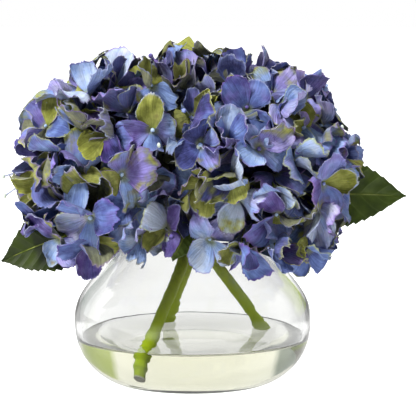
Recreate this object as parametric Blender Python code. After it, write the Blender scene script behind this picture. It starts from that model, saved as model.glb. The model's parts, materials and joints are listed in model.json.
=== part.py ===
"""Three hydrangea heads on cut stems, standing in a round glass vase with a little water in the bottom.

Sizes are in metres, +Z is up, and the origin is the centre of the vase's flat foot, on the table.
-Y is the front. Each physical piece is one object: the vase, the water, three stems, three flower heads
and six leaves. The stems cross in the vase's neck, so each cut end stands on the side away from its head.
"""

import math
import random

import bmesh
import bpy
import numpy as np
from mathutils import Matrix, Vector

MM = 0.001

# Vase: a squat blown bowl with a short flared neck
BELLY_RADIUS = 75.3 * MM
BELLY_HEIGHT = 40.0 * MM
FOOT_RADIUS = 50.0 * MM
NECK_RADIUS = 47.5 * MM
NECK_HEIGHT = 93.0 * MM
LIP_RADIUS = 49.5 * MM
VASE_HEIGHT = 100.0 * MM
WALL = 3.0 * MM
BASE_THICKNESS = 6.0 * MM
VASE_SEGMENTS = 32
UNDERSIDE_SWEEP = 2.6
UNDERSIDE_FULLNESS = 1.24
SHOULDER_EASE = 1.1

# Water, which stops just short of the glass
WATER_LEVEL = 28.5 * MM
GAP = 0.3 * MM

# Flower heads
FLORETS = 71
CANDIDATES_ON_A_BALL = 350
EVENING_ROUNDS = 12
FLORET_SEAT_RADIUS = 53.0 * MM
CORE_RADIUS = 30.0 * MM
CORE_FINENESS = 2
ROOT_RADIUS = 26.0 * MM
STAGGER = 4.5 * MM
STAGGER_SPREAD = 0.33
GOLDEN_ANGLE = math.pi * (3.0 - math.sqrt(5.0))
TILT = 16.0
CUP_LOW = 6.0
CUP_HIGH = 38.0
PETALS = 4
PETAL_LENGTH = 25.0 * MM
PETAL_LENGTH_SPREAD = (0.90, 1.08)
THROAT_RADIUS = 10.0 * MM
NOTCH_RADIUS = 7.0 * MM
PETAL_SHOULDER = 0.88
PETAL_SHOULDER_ANGLE = 33.0
PETAL_TROUGH = 2.6 * MM
PETAL_WAVE = 1.6 * MM
PETAL_THICKNESS = 0.9 * MM
BEAD_HEIGHT = 3.0 * MM

# Heads press on each other: they swell beside the place where they meet, and petals bend clear of the
# plane halfway between two heads
BULGE = 0.30
BULGE_FROM = 0.20
BULGE_TO = 0.70
BULGE_TURN = 0.75
PRESS_SOFTNESS = 3.0 * MM
PRESS_LIMIT = 0.5 * MM
PRESS_REACH = 6.0 * MM
VASE_SOFTNESS = 3.0 * MM
VASE_CLEARANCE = 2.0 * MM
LIP_CLEARANCE = 12.0 * MM
# A soft push has faded out this many softnesses away from its surface
SOFT_END = 6.0

# Florets seated below the first height start to hang, and below the second they hang straight
HANG_FROM = 116.0 * MM
HANG_TO = 100.0 * MM

# Places with no floret: above the vase's mouth, deep between the heads, where the stem comes in, and on a
# leaf's blade
MOUTH_TOP = 104.0 * MM
MOUTH_RADIUS = 56.0 * MM
NECK_RING = 59.0 * MM
INSIDE_TOP = 150.0 * MM
INSIDE_RADIUS = 26.0 * MM
STEM_SIDE = -0.86
LEAF_ROOM = 7.0 * MM
LEAF_ROOM_SHARE = 0.42

HEADS = {
    "left": {"centre": (-44.0, -11.0, 141.0), "seed": 11},
    "right": {"centre": (42.0, -11.0, 139.0), "seed": 23},
    "middle": {"centre": (5.0, 31.0, 150.0), "seed": 37},
}

# Two heads part at a plane, and the three planes meet in one upright line. Each plane faces from the first
# head's centre to the second's, turned about that line by this many degrees, so that the front shows no
# straight upright seam
PARTING_TURNS = {("left", "right"): -10.0, ("left", "middle"): -8.0, ("right", "middle"): 0.0}

# Each stem's route, from the cut end under water, through the neck, into the core of its head
STEM_RADIUS = 3.9 * MM
STEM_SIDES = 8
STEM_RINGS = 15
STEM_ROUTES = {
    "left": (
        (50, 26, 14), (43, 21, 31), (19, 5, 68), (13, -2, 78),
        (5, -8, 89), (-4, -10, 98), (-24, -9, 115), (-44, -10, 138),
    ),
    "right": (
        (-22, 51, 12), (-17, 41, 31), (-5, 17, 66), (-1, 9, 78),
        (6, 4, 89), (13, -3, 98), (27, -9, 114), (42, -10, 136),
    ),
    "middle": (
        (-31, -46, 12), (-26, -38, 30), (-11, -16, 64), (-6, -7, 78),
        (-4, 1, 89), (-3, 8, 98), (-3, 22, 120), (-2, 35, 152),
    ),
}
KNUCKLE_POSITIONS = {"left": 0.10, "right": 0.16, "middle": 0.13}
KNUCKLE_SWELL = 0.9 * MM
KNUCKLE_REACH = 0.035

# Leaves: where the stalk leaves the stem, where the blade starts, its tip, its width and the way it faces
LEAF_THICKNESS = 0.8 * MM
LEAF_TEETH = 8
LEAF_TOOTH_DEPTH = 1.5 * MM
LEAF_FOLD = 12.0
LEAF_WIDEST = 0.72
LEAF_FULLNESS = 0.85
LEAF_STALK_RADIUS = 1.6 * MM
LEAF_STALK_RINGS = 8
LEAF_STALK_SIDES = 5
LEAF_STALK_TAPER = 0.6
LEAF_STALK_GAP = 0.7 * MM
LEAF_STATIONS = 8
LEAVES = {
    "right_outer": {
        "stem": "right", "height": 112, "stalk": ((32, 10, 110),),
        "base": (54, 33, 114), "tip": (137, 14, 116), "width": 47,
        "faces": (0.15, -0.93, 0.30), "arch": 6,
    },
    "left_outer": {
        "stem": "left", "height": 98, "stalk": ((-22, -26, 103), (-42, -33, 106)),
        "base": (-58, -34, 102), "tip": (-120, -22, 79), "width": 44,
        "faces": (-0.25, -0.85, 0.45), "arch": 5,
    },
    "left_front": {
        "stem": "left", "height": 112, "stalk": ((-21, -24, 109),),
        "base": (-27, -38, 108), "tip": (-55, -53, 91), "width": 30,
        "faces": (-0.15, -0.75, 0.65), "arch": 4,
    },
    "right_front": {
        "stem": "right", "height": 102, "stalk": ((6, -26, 104),),
        "base": (0, -44, 105), "tip": (-12, -55, 84), "width": 24,
        "faces": (-0.05, -0.85, 0.50), "arch": 4,
    },
    "middle_back": {
        "stem": "middle", "height": 112, "stalk": ((4, 44, 108),),
        "base": (14, 66, 108), "tip": (36, 122, 92), "width": 44,
        "faces": (0.10, 0.45, 0.89), "arch": 8,
    },
    "left_back": {
        "stem": "left", "height": 114, "stalk": ((-36, 18, 107),),
        "base": (-56, 38, 108), "tip": (-104, 74, 92), "width": 42,
        "faces": (-0.30, 0.40, 0.87), "arch": 8,
    },
}


def millimetres(point):
    return Vector(point) * MM


def vase_outer_radius(height):
    """The outside of the glass: a full underside sweeps up to the belly, then a shoulder into the neck."""
    if height <= BELLY_HEIGHT:
        drop = (1.0 - height / BELLY_HEIGHT) ** UNDERSIDE_SWEEP
        return FOOT_RADIUS + (BELLY_RADIUS - FOOT_RADIUS) * (1.0 - drop) ** (1.0 / UNDERSIDE_FULLNESS)
    if height <= NECK_HEIGHT:
        rise = ((height - BELLY_HEIGHT) / (NECK_HEIGHT - BELLY_HEIGHT)) ** SHOULDER_EASE
        return NECK_RADIUS + (BELLY_RADIUS - NECK_RADIUS) * math.cos(rise * math.pi / 2.0) ** 2
    flare = (height - NECK_HEIGHT) / (VASE_HEIGHT - NECK_HEIGHT)
    return NECK_RADIUS + (LIP_RADIUS - NECK_RADIUS) * flare**2


def vase_inner_radius(height):
    """The inside follows the outside at one wall, and rounds off over the thick bottom."""
    lift = min(1.0, max(0.0, (height - BASE_THICKNESS) / (BELLY_HEIGHT - BASE_THICKNESS)))
    rounding = (1.0 - (1.0 - lift) ** UNDERSIDE_SWEEP) ** (1.0 / UNDERSIDE_FULLNESS)
    inner_foot = FOOT_RADIUS - WALL
    if height < BELLY_HEIGHT:
        return inner_foot + (BELLY_RADIUS - WALL - inner_foot) * rounding
    return vase_outer_radius(height) - WALL


def finished(name, mesh_builder, material, smooth=True):
    """Turns a bmesh into a named object with its material."""
    mesh = bpy.data.meshes.new(name)
    mesh_builder.to_mesh(mesh)
    mesh_builder.free()
    if smooth:
        mesh.shade_smooth()
        mesh.set_sharp_from_angle(angle=math.radians(40.0))
    obj = bpy.data.objects.new(name, mesh)
    bpy.context.scene.collection.objects.link(obj)
    if material is not None:
        mesh.materials.append(material)
    return obj


def plain_material(name, colour, roughness, transmission=0.0):
    material = bpy.data.materials.new(name)
    material.use_nodes = True
    shader = material.node_tree.nodes["Principled BSDF"]
    shader.inputs["Base Color"].default_value = (*colour, 1.0)
    shader.inputs["Roughness"].default_value = roughness
    shader.inputs["Metallic"].default_value = 0.0
    shader.inputs["Transmission Weight"].default_value = transmission
    return material


def turned(profile, segments=VASE_SEGMENTS):
    """Spins a profile of (radius, height) points about Z. It starts and ends on the axis."""
    shape = bmesh.new()
    points = [shape.verts.new((radius, 0.0, height)) for radius, height in profile]
    edges = [shape.edges.new(pair) for pair in zip(points, points[1:])]
    bmesh.ops.spin(
        shape,
        geom=points + edges,
        cent=(0, 0, 0),
        axis=(0, 0, 1),
        angle=math.tau,
        steps=segments,
        use_merge=True,
    )
    bmesh.ops.remove_doubles(shape, verts=shape.verts[:], dist=0.01 * MM)
    bmesh.ops.recalc_face_normals(shape, faces=shape.faces[:])
    return shape


def stations(low, high, count):
    """Evenly spaced numbers from low to high, both included."""
    return [low + (high - low) * i / (count - 1) for i in range(count)]


def bowl_inside():
    """The inside of the bowl as (radius, height) points, from the bottom's rim up to the belly."""
    rise = BELLY_HEIGHT - BASE_THICKNESS
    heights = [BASE_THICKNESS + rise * share**2 for share in stations(0.0, 1.0, 5)]
    return [(vase_inner_radius(z), z) for z in heights]


def vase_profile():
    # The underside turns fast near the foot, so its stations crowd there
    underside = [BELLY_HEIGHT * share**2 for share in stations(0.0, 1.0, 6)]
    shoulder = stations(BELLY_HEIGHT, NECK_HEIGHT, 6)[1:]
    outside = [(vase_outer_radius(z), z) for z in underside + shoulder]
    lip = [
        (LIP_RADIUS, VASE_HEIGHT - 0.5 * WALL),
        (LIP_RADIUS - 0.25 * WALL, VASE_HEIGHT),
        (LIP_RADIUS - 0.75 * WALL, VASE_HEIGHT),
        (LIP_RADIUS - WALL, VASE_HEIGHT - 0.5 * WALL),
    ]
    inside_shoulder = [(vase_inner_radius(z), z) for z in stations(NECK_HEIGHT, BELLY_HEIGHT, 5)[:-1]]
    inside = [*inside_shoulder, *reversed(bowl_inside()), (0.0, BASE_THICKNESS)]
    return [(0.0, 0.0), *outside, *lip, *inside]


def vase_room_profile():
    """The vase's outside grown by the gap, with its mouth closed: no petal comes inside it."""
    heights = [*stations(BELLY_HEIGHT, NECK_HEIGHT, 7), VASE_HEIGHT + GAP]
    outside = [(vase_outer_radius(min(z, VASE_HEIGHT)) + 2.0 * GAP, z) for z in heights]
    return [(0.0, BELLY_HEIGHT), *outside, (0.0, VASE_HEIGHT + GAP)]


def water_profile():
    """The water follows the bowl's own flats, one gap above them and two inside them."""
    wall = bowl_inside()
    side = [(radius - 2.0 * GAP, height + GAP) for radius, height in wall if height + GAP < WATER_LEVEL]
    (low_radius, low), (high_radius, high) = wall[len(side) - 1], wall[len(side)]
    share = (WATER_LEVEL - GAP - low) / (high - low)
    side.append((low_radius + (high_radius - low_radius) * share - 2.0 * GAP, WATER_LEVEL))
    return [(0.0, BASE_THICKNESS + GAP), *side, (0.0, WATER_LEVEL)]


def smooth_route(points, count):
    """Catmull-Rom points through a route, so that a stem bends as one smooth line."""
    ends = [points[0] * 2 - points[1], *points, points[-1] * 2 - points[-2]]
    route = []
    for i in range(count):
        place = (len(points) - 1) * i / (count - 1)
        k = min(int(place), len(points) - 2)
        t = place - k
        a, b, c, d = ends[k : k + 4]
        square = (2 * a - 5 * b + 4 * c - d) * t**2
        cube = (3 * b - a - 3 * c + d) * t**3
        route.append(0.5 * (2 * b + (c - a) * t + square + cube))
    return route


def tube(route, radii, sides):
    """A closed tube along a route, with a radius at each point and flat ends."""
    shape = bmesh.new()
    rings = []
    across = Vector((0.0, 1.0, 0.0))
    for i, point in enumerate(route):
        ahead = (route[min(i + 1, len(route) - 1)] - route[max(i - 1, 0)]).normalized()
        across = (across - ahead * across.dot(ahead)).normalized()
        up = ahead.cross(across)
        turn = [math.tau * k / sides for k in range(sides)]
        rings.append(
            [shape.verts.new(point + radii[i] * (across * math.cos(a) + up * math.sin(a))) for a in turn]
        )
    for below, above in zip(rings, rings[1:]):
        for k in range(sides):
            n = (k + 1) % sides
            shape.faces.new((below[k], below[n], above[n], above[k]))
    shape.faces.new(list(reversed(rings[0])))
    shape.faces.new(rings[-1])
    bmesh.ops.recalc_face_normals(shape, faces=shape.faces[:])
    return shape


def stem_tube(name, clearance=0.0):
    """A stem, or with a clearance the hole that it stands in."""
    route = smooth_route([millimetres(p) for p in STEM_ROUTES[name]], STEM_RINGS)
    if clearance:
        route[0] = route[0] + (route[0] - route[1]).normalized() * clearance
        route[-1] = route[-1] + (route[-1] - route[-2]).normalized() * clearance
    radii = []
    for i in range(STEM_RINGS):
        along = i / (STEM_RINGS - 1)
        swell = math.exp(-(((along - KNUCKLE_POSITIONS[name]) / KNUCKLE_REACH) ** 2))
        radii.append(STEM_RADIUS + KNUCKLE_SWELL * swell + clearance)
    return tube(route, radii, STEM_SIDES)


def stem_point(name, height):
    """The place on a stem's centre line nearest to a height, and the way the stem runs there."""
    route = smooth_route([millimetres(p) for p in STEM_ROUTES[name]], 80)
    k = min(range(1, len(route) - 1), key=lambda i: abs(route[i].z - height))
    return route[k], (route[k + 1] - route[k - 1]).normalized()


def leaf_line(leaf, along):
    """The midrib, from the blade's base to its tip, arched away from the way it faces."""
    base, tip = millimetres(leaf["base"]), millimetres(leaf["tip"])
    facing = Vector(leaf["faces"]).normalized()
    return base.lerp(tip, along) + facing * (leaf["arch"] * MM * math.sin(math.pi * along))


def leaf_axes(leaf):
    """The blade's own directions: along it, across it and out of its face."""
    forward = (millimetres(leaf["tip"]) - millimetres(leaf["base"])).normalized()
    facing = Vector(leaf["faces"])
    facing = (facing - forward * facing.dot(forward)).normalized()
    return forward, facing.cross(forward).normalized(), facing


def leaf_half_width(along):
    """An ovate blade, widest at two fifths of its length, as a share of half its width."""
    return math.sin(math.pi * along**LEAF_WIDEST) ** LEAF_FULLNESS


def leaf_blade(leaf, clearance=0.0):
    """A thin folded blade with a sawtooth edge, split alike on both faces."""
    forward, across, facing = leaf_axes(leaf)
    half = leaf["width"] * MM / 2.0
    thickness = LEAF_THICKNESS / 2.0 + clearance
    fold = math.tan(math.radians(LEAF_FOLD))
    shape = bmesh.new()

    def corner(along, out, side):
        place = leaf_line(leaf, along) + across * (out * side) + facing * (out * fold)
        return [shape.verts.new(place + facing * thickness), shape.verts.new(place - facing * thickness)]

    spine = [corner(i / LEAF_STATIONS, 0.0, 1.0) for i in range(LEAF_STATIONS + 1)]
    for side in (1.0, -1.0):
        edge = [spine[0]]
        steps = 2 * LEAF_TEETH
        for k in range(1, steps):
            along = k / steps
            tooth = LEAF_TOOTH_DEPTH * math.sin(math.pi * along) if k % 2 else 0.0
            # Teeth lean towards the tip, so each low point sits just behind the next crest
            edge.append(corner(along, half * leaf_half_width(along) - tooth + clearance, side))
        edge.append(spine[-1])
        skin_half(shape, spine, edge, side)
    bmesh.ops.recalc_face_normals(shape, faces=shape.faces[:])
    return shape


def skin_half(shape, spine, edge, side):
    """Fills one half of a blade between its spine and its edge, on both faces, and closes the rim."""
    i = k = 0
    while i < len(spine) - 1 or k < len(edge) - 1:
        spine_next = (i + 1) / (len(spine) - 1)
        edge_next = (k + 1) / (len(edge) - 1)
        if k >= len(edge) - 1 or (i < len(spine) - 1 and spine_next < edge_next):
            trio = (spine[i], spine[i + 1], edge[k])
            i += 1
        else:
            trio = (spine[i], edge[k + 1], edge[k])
            k += 1
        if len({id(p) for p in trio}) < 3:
            continue
        front = [p[0] for p in trio]
        back = [p[1] for p in trio]
        shape.faces.new(front if side > 0 else front[::-1])
        shape.faces.new(back[::-1] if side > 0 else back)
    for a, b in zip(edge, edge[1:]):
        shape.faces.new((a[0], b[0], b[1], a[1]) if side > 0 else (a[0], a[1], b[1], b[0]))


def leaf_stalk(leaf, clearance=0.0):
    """The stalk, which starts square to its stem's side and runs on under the blade as its midrib."""
    on_stem, along_stem = stem_point(leaf["stem"], leaf["height"] * MM)
    vias = [millimetres(p) for p in leaf["stalk"]]
    leaving = vias[0] - on_stem
    leaving = (leaving - along_stem * leaving.dot(along_stem)).normalized()
    start = on_stem + leaving * (STEM_RADIUS + LEAF_STALK_GAP)
    midrib = [leaf_line(leaf, along) for along in (0.0, 0.2, 0.45)]
    first_step = start + leaving * (2.0 * LEAF_STALK_RADIUS)
    route = smooth_route([start, first_step, *vias, *midrib], LEAF_STALK_RINGS)
    # It keeps its width for the first half, then tapers under the blade
    tapers = [max(0.0, 2.0 * i / (LEAF_STALK_RINGS - 1) - 1.0) for i in range(LEAF_STALK_RINGS)]
    radii = [LEAF_STALK_RADIUS * (1.0 - LEAF_STALK_TAPER * share) + clearance for share in tapers]
    if clearance:
        route[0] = route[0] - leaving * clearance
    return tube(route, radii, LEAF_STALK_SIDES)


def joined(base, others, operation, solver="EXACT"):
    """Applies one Boolean of base with a list of objects, and removes those objects."""
    group = bpy.data.collections.new("operands")
    bpy.context.scene.collection.children.link(group)
    for other in others:
        bpy.context.scene.collection.objects.unlink(other)
        group.objects.link(other)
    boolean = base.modifiers.new("join", "BOOLEAN")
    boolean.operation = operation
    boolean.solver = solver
    boolean.operand_type = "COLLECTION"
    boolean.collection = group
    bpy.context.view_layer.update()
    evaluated = base.evaluated_get(bpy.context.evaluated_depsgraph_get())
    result = bpy.data.meshes.new_from_object(evaluated)
    base.modifiers.clear()
    old = base.data
    base.data = result
    result.name = old.name
    bpy.data.meshes.remove(old)
    for other in others:
        bpy.data.objects.remove(other)
    bpy.data.collections.remove(group)
    return base


def keep_largest_shell(obj):
    """Drops scraps that a cut frees, and fills hollows that a union seals: the outermost shell stays."""
    shape = bmesh.new()
    shape.from_mesh(obj.data)
    unseen = set(shape.faces)
    shells = []
    while unseen:
        stack = [unseen.pop()]
        shell = list(stack)
        while stack:
            for edge in stack.pop().edges:
                for face in edge.link_faces:
                    if face in unseen:
                        unseen.remove(face)
                        stack.append(face)
                        shell.append(face)
        shells.append(shell)
    shells.sort(key=len, reverse=True)
    spare = [face for shell in shells[1:] for face in shell]
    bmesh.ops.delete(shape, geom=spare, context="FACES")
    shape.to_mesh(obj.data)
    shape.free()


def head_centre(name):
    return millimetres(HEADS[name]["centre"])


def meeting_line():
    """The line that is equally far from the three heads' centres: a point of it, and the way it runs up."""
    corner, first, second = (head_centre(name) for name in HEADS)
    a, b = first - corner, second - corner
    upright = a.cross(b)
    towards = b.length_squared * upright.cross(a) + a.length_squared * b.cross(upright)
    return corner + towards / (2.0 * upright.length_squared), upright.normalized()


def partings(name):
    """For each neighbour, a point of the parting plane and the way from it into this head."""
    point, upright = meeting_line()
    planes = []
    for (first, second), turn in PARTING_TURNS.items():
        if name in (first, second):
            facing = (head_centre(second) - head_centre(first)).normalized()
            facing.rotate(Matrix.Rotation(math.radians(turn), 3, upright))
            planes.append((point, -facing if name == first else facing))
    return planes


def pressed(point, name):
    """Moves a point of one head clear of the planes that part it from its neighbours."""
    for middle, inward in partings(name):
        depth = (point - middle).dot(inward) / PRESS_SOFTNESS
        if depth < SOFT_END:
            eased = math.log1p(math.exp(depth)) * PRESS_SOFTNESS + PRESS_LIMIT
            point = point + inward * (eased - depth * PRESS_SOFTNESS)
    return point


def clear_of_vase(point):
    """Moves a point of a petal out of the glass and off the lip, sideways and softly."""
    radius = math.hypot(point.x, point.y)
    over_lip = (point.z - VASE_HEIGHT) / LIP_CLEARANCE
    if over_lip > 1.0 or radius < 0.5 * INSIDE_RADIUS:
        return point
    if over_lip > 0.0:
        wall = LIP_RADIUS * math.sqrt(1.0 - over_lip**2)
    else:
        wall = vase_outer_radius(max(0.0, point.z))
    depth = (radius - wall - VASE_CLEARANCE) / VASE_SOFTNESS
    if depth > SOFT_END:
        return point
    eased = math.log1p(math.exp(depth)) * VASE_SOFTNESS + wall + VASE_CLEARANCE
    return Vector((point.x * eased / radius, point.y * eased / radius, point.z))


def distance_to_segment(point, start, end):
    """How far a point is from the straight line between two others."""
    line = end - start
    share = max(0.0, min(1.0, (point - start).dot(line) / line.length_squared))
    return (point - start - line * share).length


def leans_on(direction, name):
    """The way to the neighbour that a direction faces most, and how strongly the heads press there."""
    ways = [(head_centre(other) - head_centre(name)).normalized() for other in HEADS if other != name]
    way = max(ways, key=direction.dot)
    share = max(0.0, min(1.0, (direction.dot(way) - BULGE_FROM) / (BULGE_TO - BULGE_FROM)))
    return way, share * share * (3.0 - 2.0 * share)


def has_room(seat, direction, name):
    """Whether a floret can open there: on its head's side of the partings, off the vase and the leaves."""
    for middle, inward in partings(name):
        if (seat - middle).dot(inward) < -PRESS_REACH:
            return False
    from_axis = math.hypot(seat.x, seat.y)
    if seat.z < MOUTH_TOP and from_axis < MOUTH_RADIUS:
        return False
    if seat.z < INSIDE_TOP and from_axis < INSIDE_RADIUS:
        return False
    if direction.z < STEM_SIDE:
        return False
    for leaf in LEAVES.values():
        start, end = millimetres(leaf["base"]), millimetres(leaf["tip"])
        off_blade = abs((seat - start).dot(leaf_axes(leaf)[2]))
        beside = distance_to_segment(seat, start, end)
        if off_blade < LEAF_ROOM and beside < LEAF_ROOM_SHARE * leaf["width"] * MM:
            return False
    return True


def beside_neck(seat):
    """Slides a seat that is over the vase's mouth out to a ring round the neck."""
    from_axis = math.hypot(seat.x, seat.y)
    if seat.z > MOUTH_TOP or not INSIDE_RADIUS < from_axis < NECK_RING:
        return seat
    return Vector((seat.x * NECK_RING / from_axis, seat.y * NECK_RING / from_axis, seat.z))


def hanging(outward, seat):
    """Low florets face sideways rather than down, so that their petals hang over the vase's shoulder."""
    share = max(0.0, min(1.0, (HANG_FROM - seat.z) / (HANG_FROM - HANG_TO)))
    return Vector((outward.x, outward.y, outward.z * (1.0 - share))).normalized()


def places_for_florets():
    """Every place where a floret could open, closely spread over the outside of all the heads."""
    places = []
    for name in HEADS:
        for i in range(CANDIDATES_ON_A_BALL):
            up = 1.0 - (2.0 * i + 1.0) / CANDIDATES_ON_A_BALL
            ring = math.sqrt(1.0 - up * up)
            turn = i * GOLDEN_ANGLE
            direction = Vector((ring * math.cos(turn), ring * math.sin(turn), up))
            way, share = leans_on(direction, name)
            reach = FLORET_SEAT_RADIUS * (1.0 + BULGE * share)
            seat = beside_neck(head_centre(name) + direction * reach)
            if has_room(seat, direction, name):
                outward = hanging(direction - way * (BULGE_TURN * share * direction.dot(way)), seat)
                places.append({"head": name, "seat": seat, "direction": direction, "outward": outward})
    return places


def spaced_places():
    """Chooses places far from each other, then moves each to the middle of what it covers."""
    places = places_for_florets()
    seats = np.array([place["seat"] for place in places])
    chosen = [0]
    nearest = np.linalg.norm(seats - seats[0], axis=1)
    while len(chosen) < FLORETS:
        chosen.append(int(nearest.argmax()))
        nearest = np.minimum(nearest, np.linalg.norm(seats - seats[chosen[-1]], axis=1))
    for _ in range(EVENING_ROUNDS):
        owner = np.linalg.norm(seats[:, None] - seats[chosen][None], axis=2).argmin(axis=1)
        middles = np.array([seats[owner == k].mean(axis=0) for k in range(FLORETS)])
        chosen = [int(np.linalg.norm(seats - middle, axis=1).argmin()) for middle in middles]
        chosen = sorted(set(chosen))
        while len(chosen) < FLORETS:
            nearest = np.linalg.norm(seats[:, None] - seats[chosen][None], axis=2).min(axis=1)
            chosen.append(int(nearest.argmax()))
    nearest = np.linalg.norm(seats[:, None] - seats[chosen][None], axis=2).min(axis=1)
    print(f"{FLORETS} florets leave no place farther than {nearest.max() / MM:.1f} mm from one")
    return [places[k] for k in chosen]


def floret_plans():
    """Gives each seated floret its own depth, tilt, turn and four cupped petals."""
    plans = []
    for i, place in enumerate(spaced_places()):
        draw = random.Random(1000 * HEADS[place["head"]]["seed"] + i)
        depth = STAGGER * (i % 3 - 1 + draw.uniform(-STAGGER_SPREAD, STAGGER_SPREAD))
        tilt = [math.radians(draw.uniform(-TILT, TILT)) for _ in range(2)]
        roll = math.radians(draw.uniform(0.0, 90.0))
        petals = [
            {
                "cup": draw.uniform(CUP_LOW, CUP_HIGH),
                "length": draw.uniform(*PETAL_LENGTH_SPREAD),
                "wave": draw.uniform(-1.0, 1.0),
            }
            for _ in range(PETALS)
        ]
        seat = place["seat"] + place["outward"] * depth
        facing = place["outward"].to_track_quat("Z", "Y").to_matrix().to_4x4()
        lean = Matrix.Rotation(tilt[0], 4, "X") @ Matrix.Rotation(tilt[1], 4, "Y")
        plans.append(
            {
                "head": place["head"],
                "frame": Matrix.Translation(seat) @ facing @ lean @ Matrix.Rotation(roll, 4, "Z"),
                "root": head_centre(place["head"]) + place["direction"] * ROOT_RADIUS,
                "petals": petals,
            }
        )
    return plans


def petal_point(petal, radius, angle, lift):
    """A place on a petal: beyond the throat it rises at the petal's own cup angle."""
    cup = math.radians(petal["cup"])
    beyond = max(0.0, radius - NOTCH_RADIUS)
    flat = min(radius, NOTCH_RADIUS) + beyond * math.cos(cup)
    return Vector((flat * math.cos(angle), flat * math.sin(angle), beyond * math.sin(cup) + lift))


def floret_mesh(plan):
    """One floret: four broad petals round a bead, one thin blade with a root that tapers into the core."""
    quarter = math.tau / PETALS
    shape = bmesh.new()
    sheet = []
    faces = []
    centre = 0
    sheet.append(Vector((0.0, 0.0, 0.0)))
    notches = []
    for k in range(PETALS):
        notches.append(len(sheet))
        sheet.append(petal_point({"cup": 0.0}, NOTCH_RADIUS, quarter * (k - 0.5), 0.0))
    for k, petal in enumerate(plan["petals"]):
        axis = quarter * k
        reach = PETAL_LENGTH * petal["length"]
        throat = len(sheet)
        sheet.append(petal_point(petal, THROAT_RADIUS, axis, 0.0))
        outline = []
        for angle, share, lift in (
            (-PETAL_SHOULDER_ANGLE, PETAL_SHOULDER, PETAL_TROUGH + PETAL_WAVE * petal["wave"]),
            (0.0, 1.0, 0.0),
            (PETAL_SHOULDER_ANGLE, PETAL_SHOULDER, PETAL_TROUGH - PETAL_WAVE * petal["wave"]),
        ):
            outline.append(len(sheet))
            sheet.append(petal_point(petal, reach * share, axis + math.radians(angle), lift))
        before, after = notches[k], notches[(k + 1) % PETALS]
        faces += [(centre, before, throat), (centre, throat, after)]
        rim = [before, *outline, after]
        faces += [(throat, a, b) for a, b in zip(rim, rim[1:])]
    add_blade(shape, sheet, faces, centre, plan)
    return shape


def sheet_normals(sheet, faces):
    """The way each point of the sheet faces."""
    normals = [Vector((0.0, 0.0, 0.0)) for _ in sheet]
    for a, b, c in faces:
        normal = (sheet[b] - sheet[a]).cross(sheet[c] - sheet[a])
        for k in (a, b, c):
            normals[k] += normal
    return [normal.normalized() for normal in normals]


def add_blade(shape, sheet, faces, centre, plan):
    """Gives the sheet its thickness, raises the bead on its face and draws its back down into a root."""
    normals = sheet_normals(sheet, faces)
    upper, lower = [], []
    for k, place in enumerate(sheet):
        offset = normals[k] * (PETAL_THICKNESS / 2.0)
        top = plan["frame"] @ (place + offset)
        bottom = plan["frame"] @ (place - offset)
        if k == centre:
            top = plan["frame"] @ Vector((0.0, 0.0, BEAD_HEIGHT))
            bottom = plan["root"]
        upper.append(shape.verts.new(clear_of_vase(pressed(top, plan["head"]))))
        lower.append(shape.verts.new(clear_of_vase(pressed(bottom, plan["head"]))))
    borders = {}
    for a, b, c in faces:
        shape.faces.new((upper[a], upper[b], upper[c]))
        shape.faces.new((lower[c], lower[b], lower[a]))
        for pair in ((a, b), (b, c), (c, a)):
            if (pair[1], pair[0]) in borders:
                del borders[(pair[1], pair[0])]
            else:
                borders[pair] = True
    for a, b in borders:
        shape.faces.new((upper[b], upper[a], lower[a], lower[b]))
    bmesh.ops.recalc_face_normals(shape, faces=shape.faces[:])


def head_core(name):
    """The hidden middle of a head, which carries its florets."""
    shape = bmesh.new()
    bmesh.ops.create_icosphere(shape, subdivisions=CORE_FINENESS, radius=CORE_RADIUS)
    for vert in shape.verts:
        vert.co = pressed(vert.co + head_centre(name), name)
    return shape


def flower_head(name, plans, material):
    """The core with all its florets fused to it, less plain holes for the stems and clear of the leaves."""
    head = finished(f"bloom_{name}", head_core(name), material, smooth=False)
    florets = [
        finished(f"floret_{name}_{i}", floret_mesh(plan), None, smooth=False)
        for i, plan in enumerate(plans)
        if plan["head"] == name
    ]
    print(f"bloom_{name}: {len(florets)} florets")
    # Hundreds of thin blades cross here, which the manifold solver joins quickly and closed
    joined(head, florets, "UNION", "MANIFOLD")
    holes = [finished(f"hole_{stem}", stem_tube(stem, GAP), None, smooth=False) for stem in STEM_ROUTES]
    for leaf_name, leaf in LEAVES.items():
        holes.append(finished(f"room_{leaf_name}", leaf_blade(leaf, GAP), None, smooth=False))
        holes.append(finished(f"stalk_room_{leaf_name}", leaf_stalk(leaf, GAP), None, smooth=False))
    holes.append(finished(f"vase_room_{name}", turned(vase_room_profile()), None, smooth=False))
    joined(head, holes, "DIFFERENCE", "MANIFOLD")
    keep_largest_shell(head)
    return head


def main():
    for obj in list(bpy.data.objects):
        bpy.data.objects.remove(obj)

    glass = plain_material("clear_glass", (0.93, 0.96, 0.95), 0.03, 1.0)
    water = plain_material("still_water", (0.93, 0.93, 0.80), 0.02, 1.0)
    stem_green = plain_material("stem_green", (0.16, 0.26, 0.05), 0.55)
    leaf_green = plain_material("leaf_green", (0.05, 0.12, 0.02), 0.60)
    petal_blue = plain_material("petal_blue", (0.20, 0.23, 0.52), 0.80)

    finished("vase", turned(vase_profile()), glass)

    pool = finished("water", turned(water_profile()), water)
    holes = [finished(f"hole_{stem}", stem_tube(stem, GAP), None, smooth=False) for stem in STEM_ROUTES]
    joined(pool, holes, "DIFFERENCE")

    for name in STEM_ROUTES:
        finished(f"stem_{name}", stem_tube(name), stem_green)

    for name, leaf in LEAVES.items():
        blade = finished(f"leaf_{name}", leaf_blade(leaf), leaf_green, smooth=False)
        stalk = finished(f"stalk_{name}", leaf_stalk(leaf), None, smooth=False)
        joined(blade, [stalk], "UNION")

    plans = floret_plans()
    for name in HEADS:
        flower_head(name, plans, petal_blue)


main()
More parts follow.
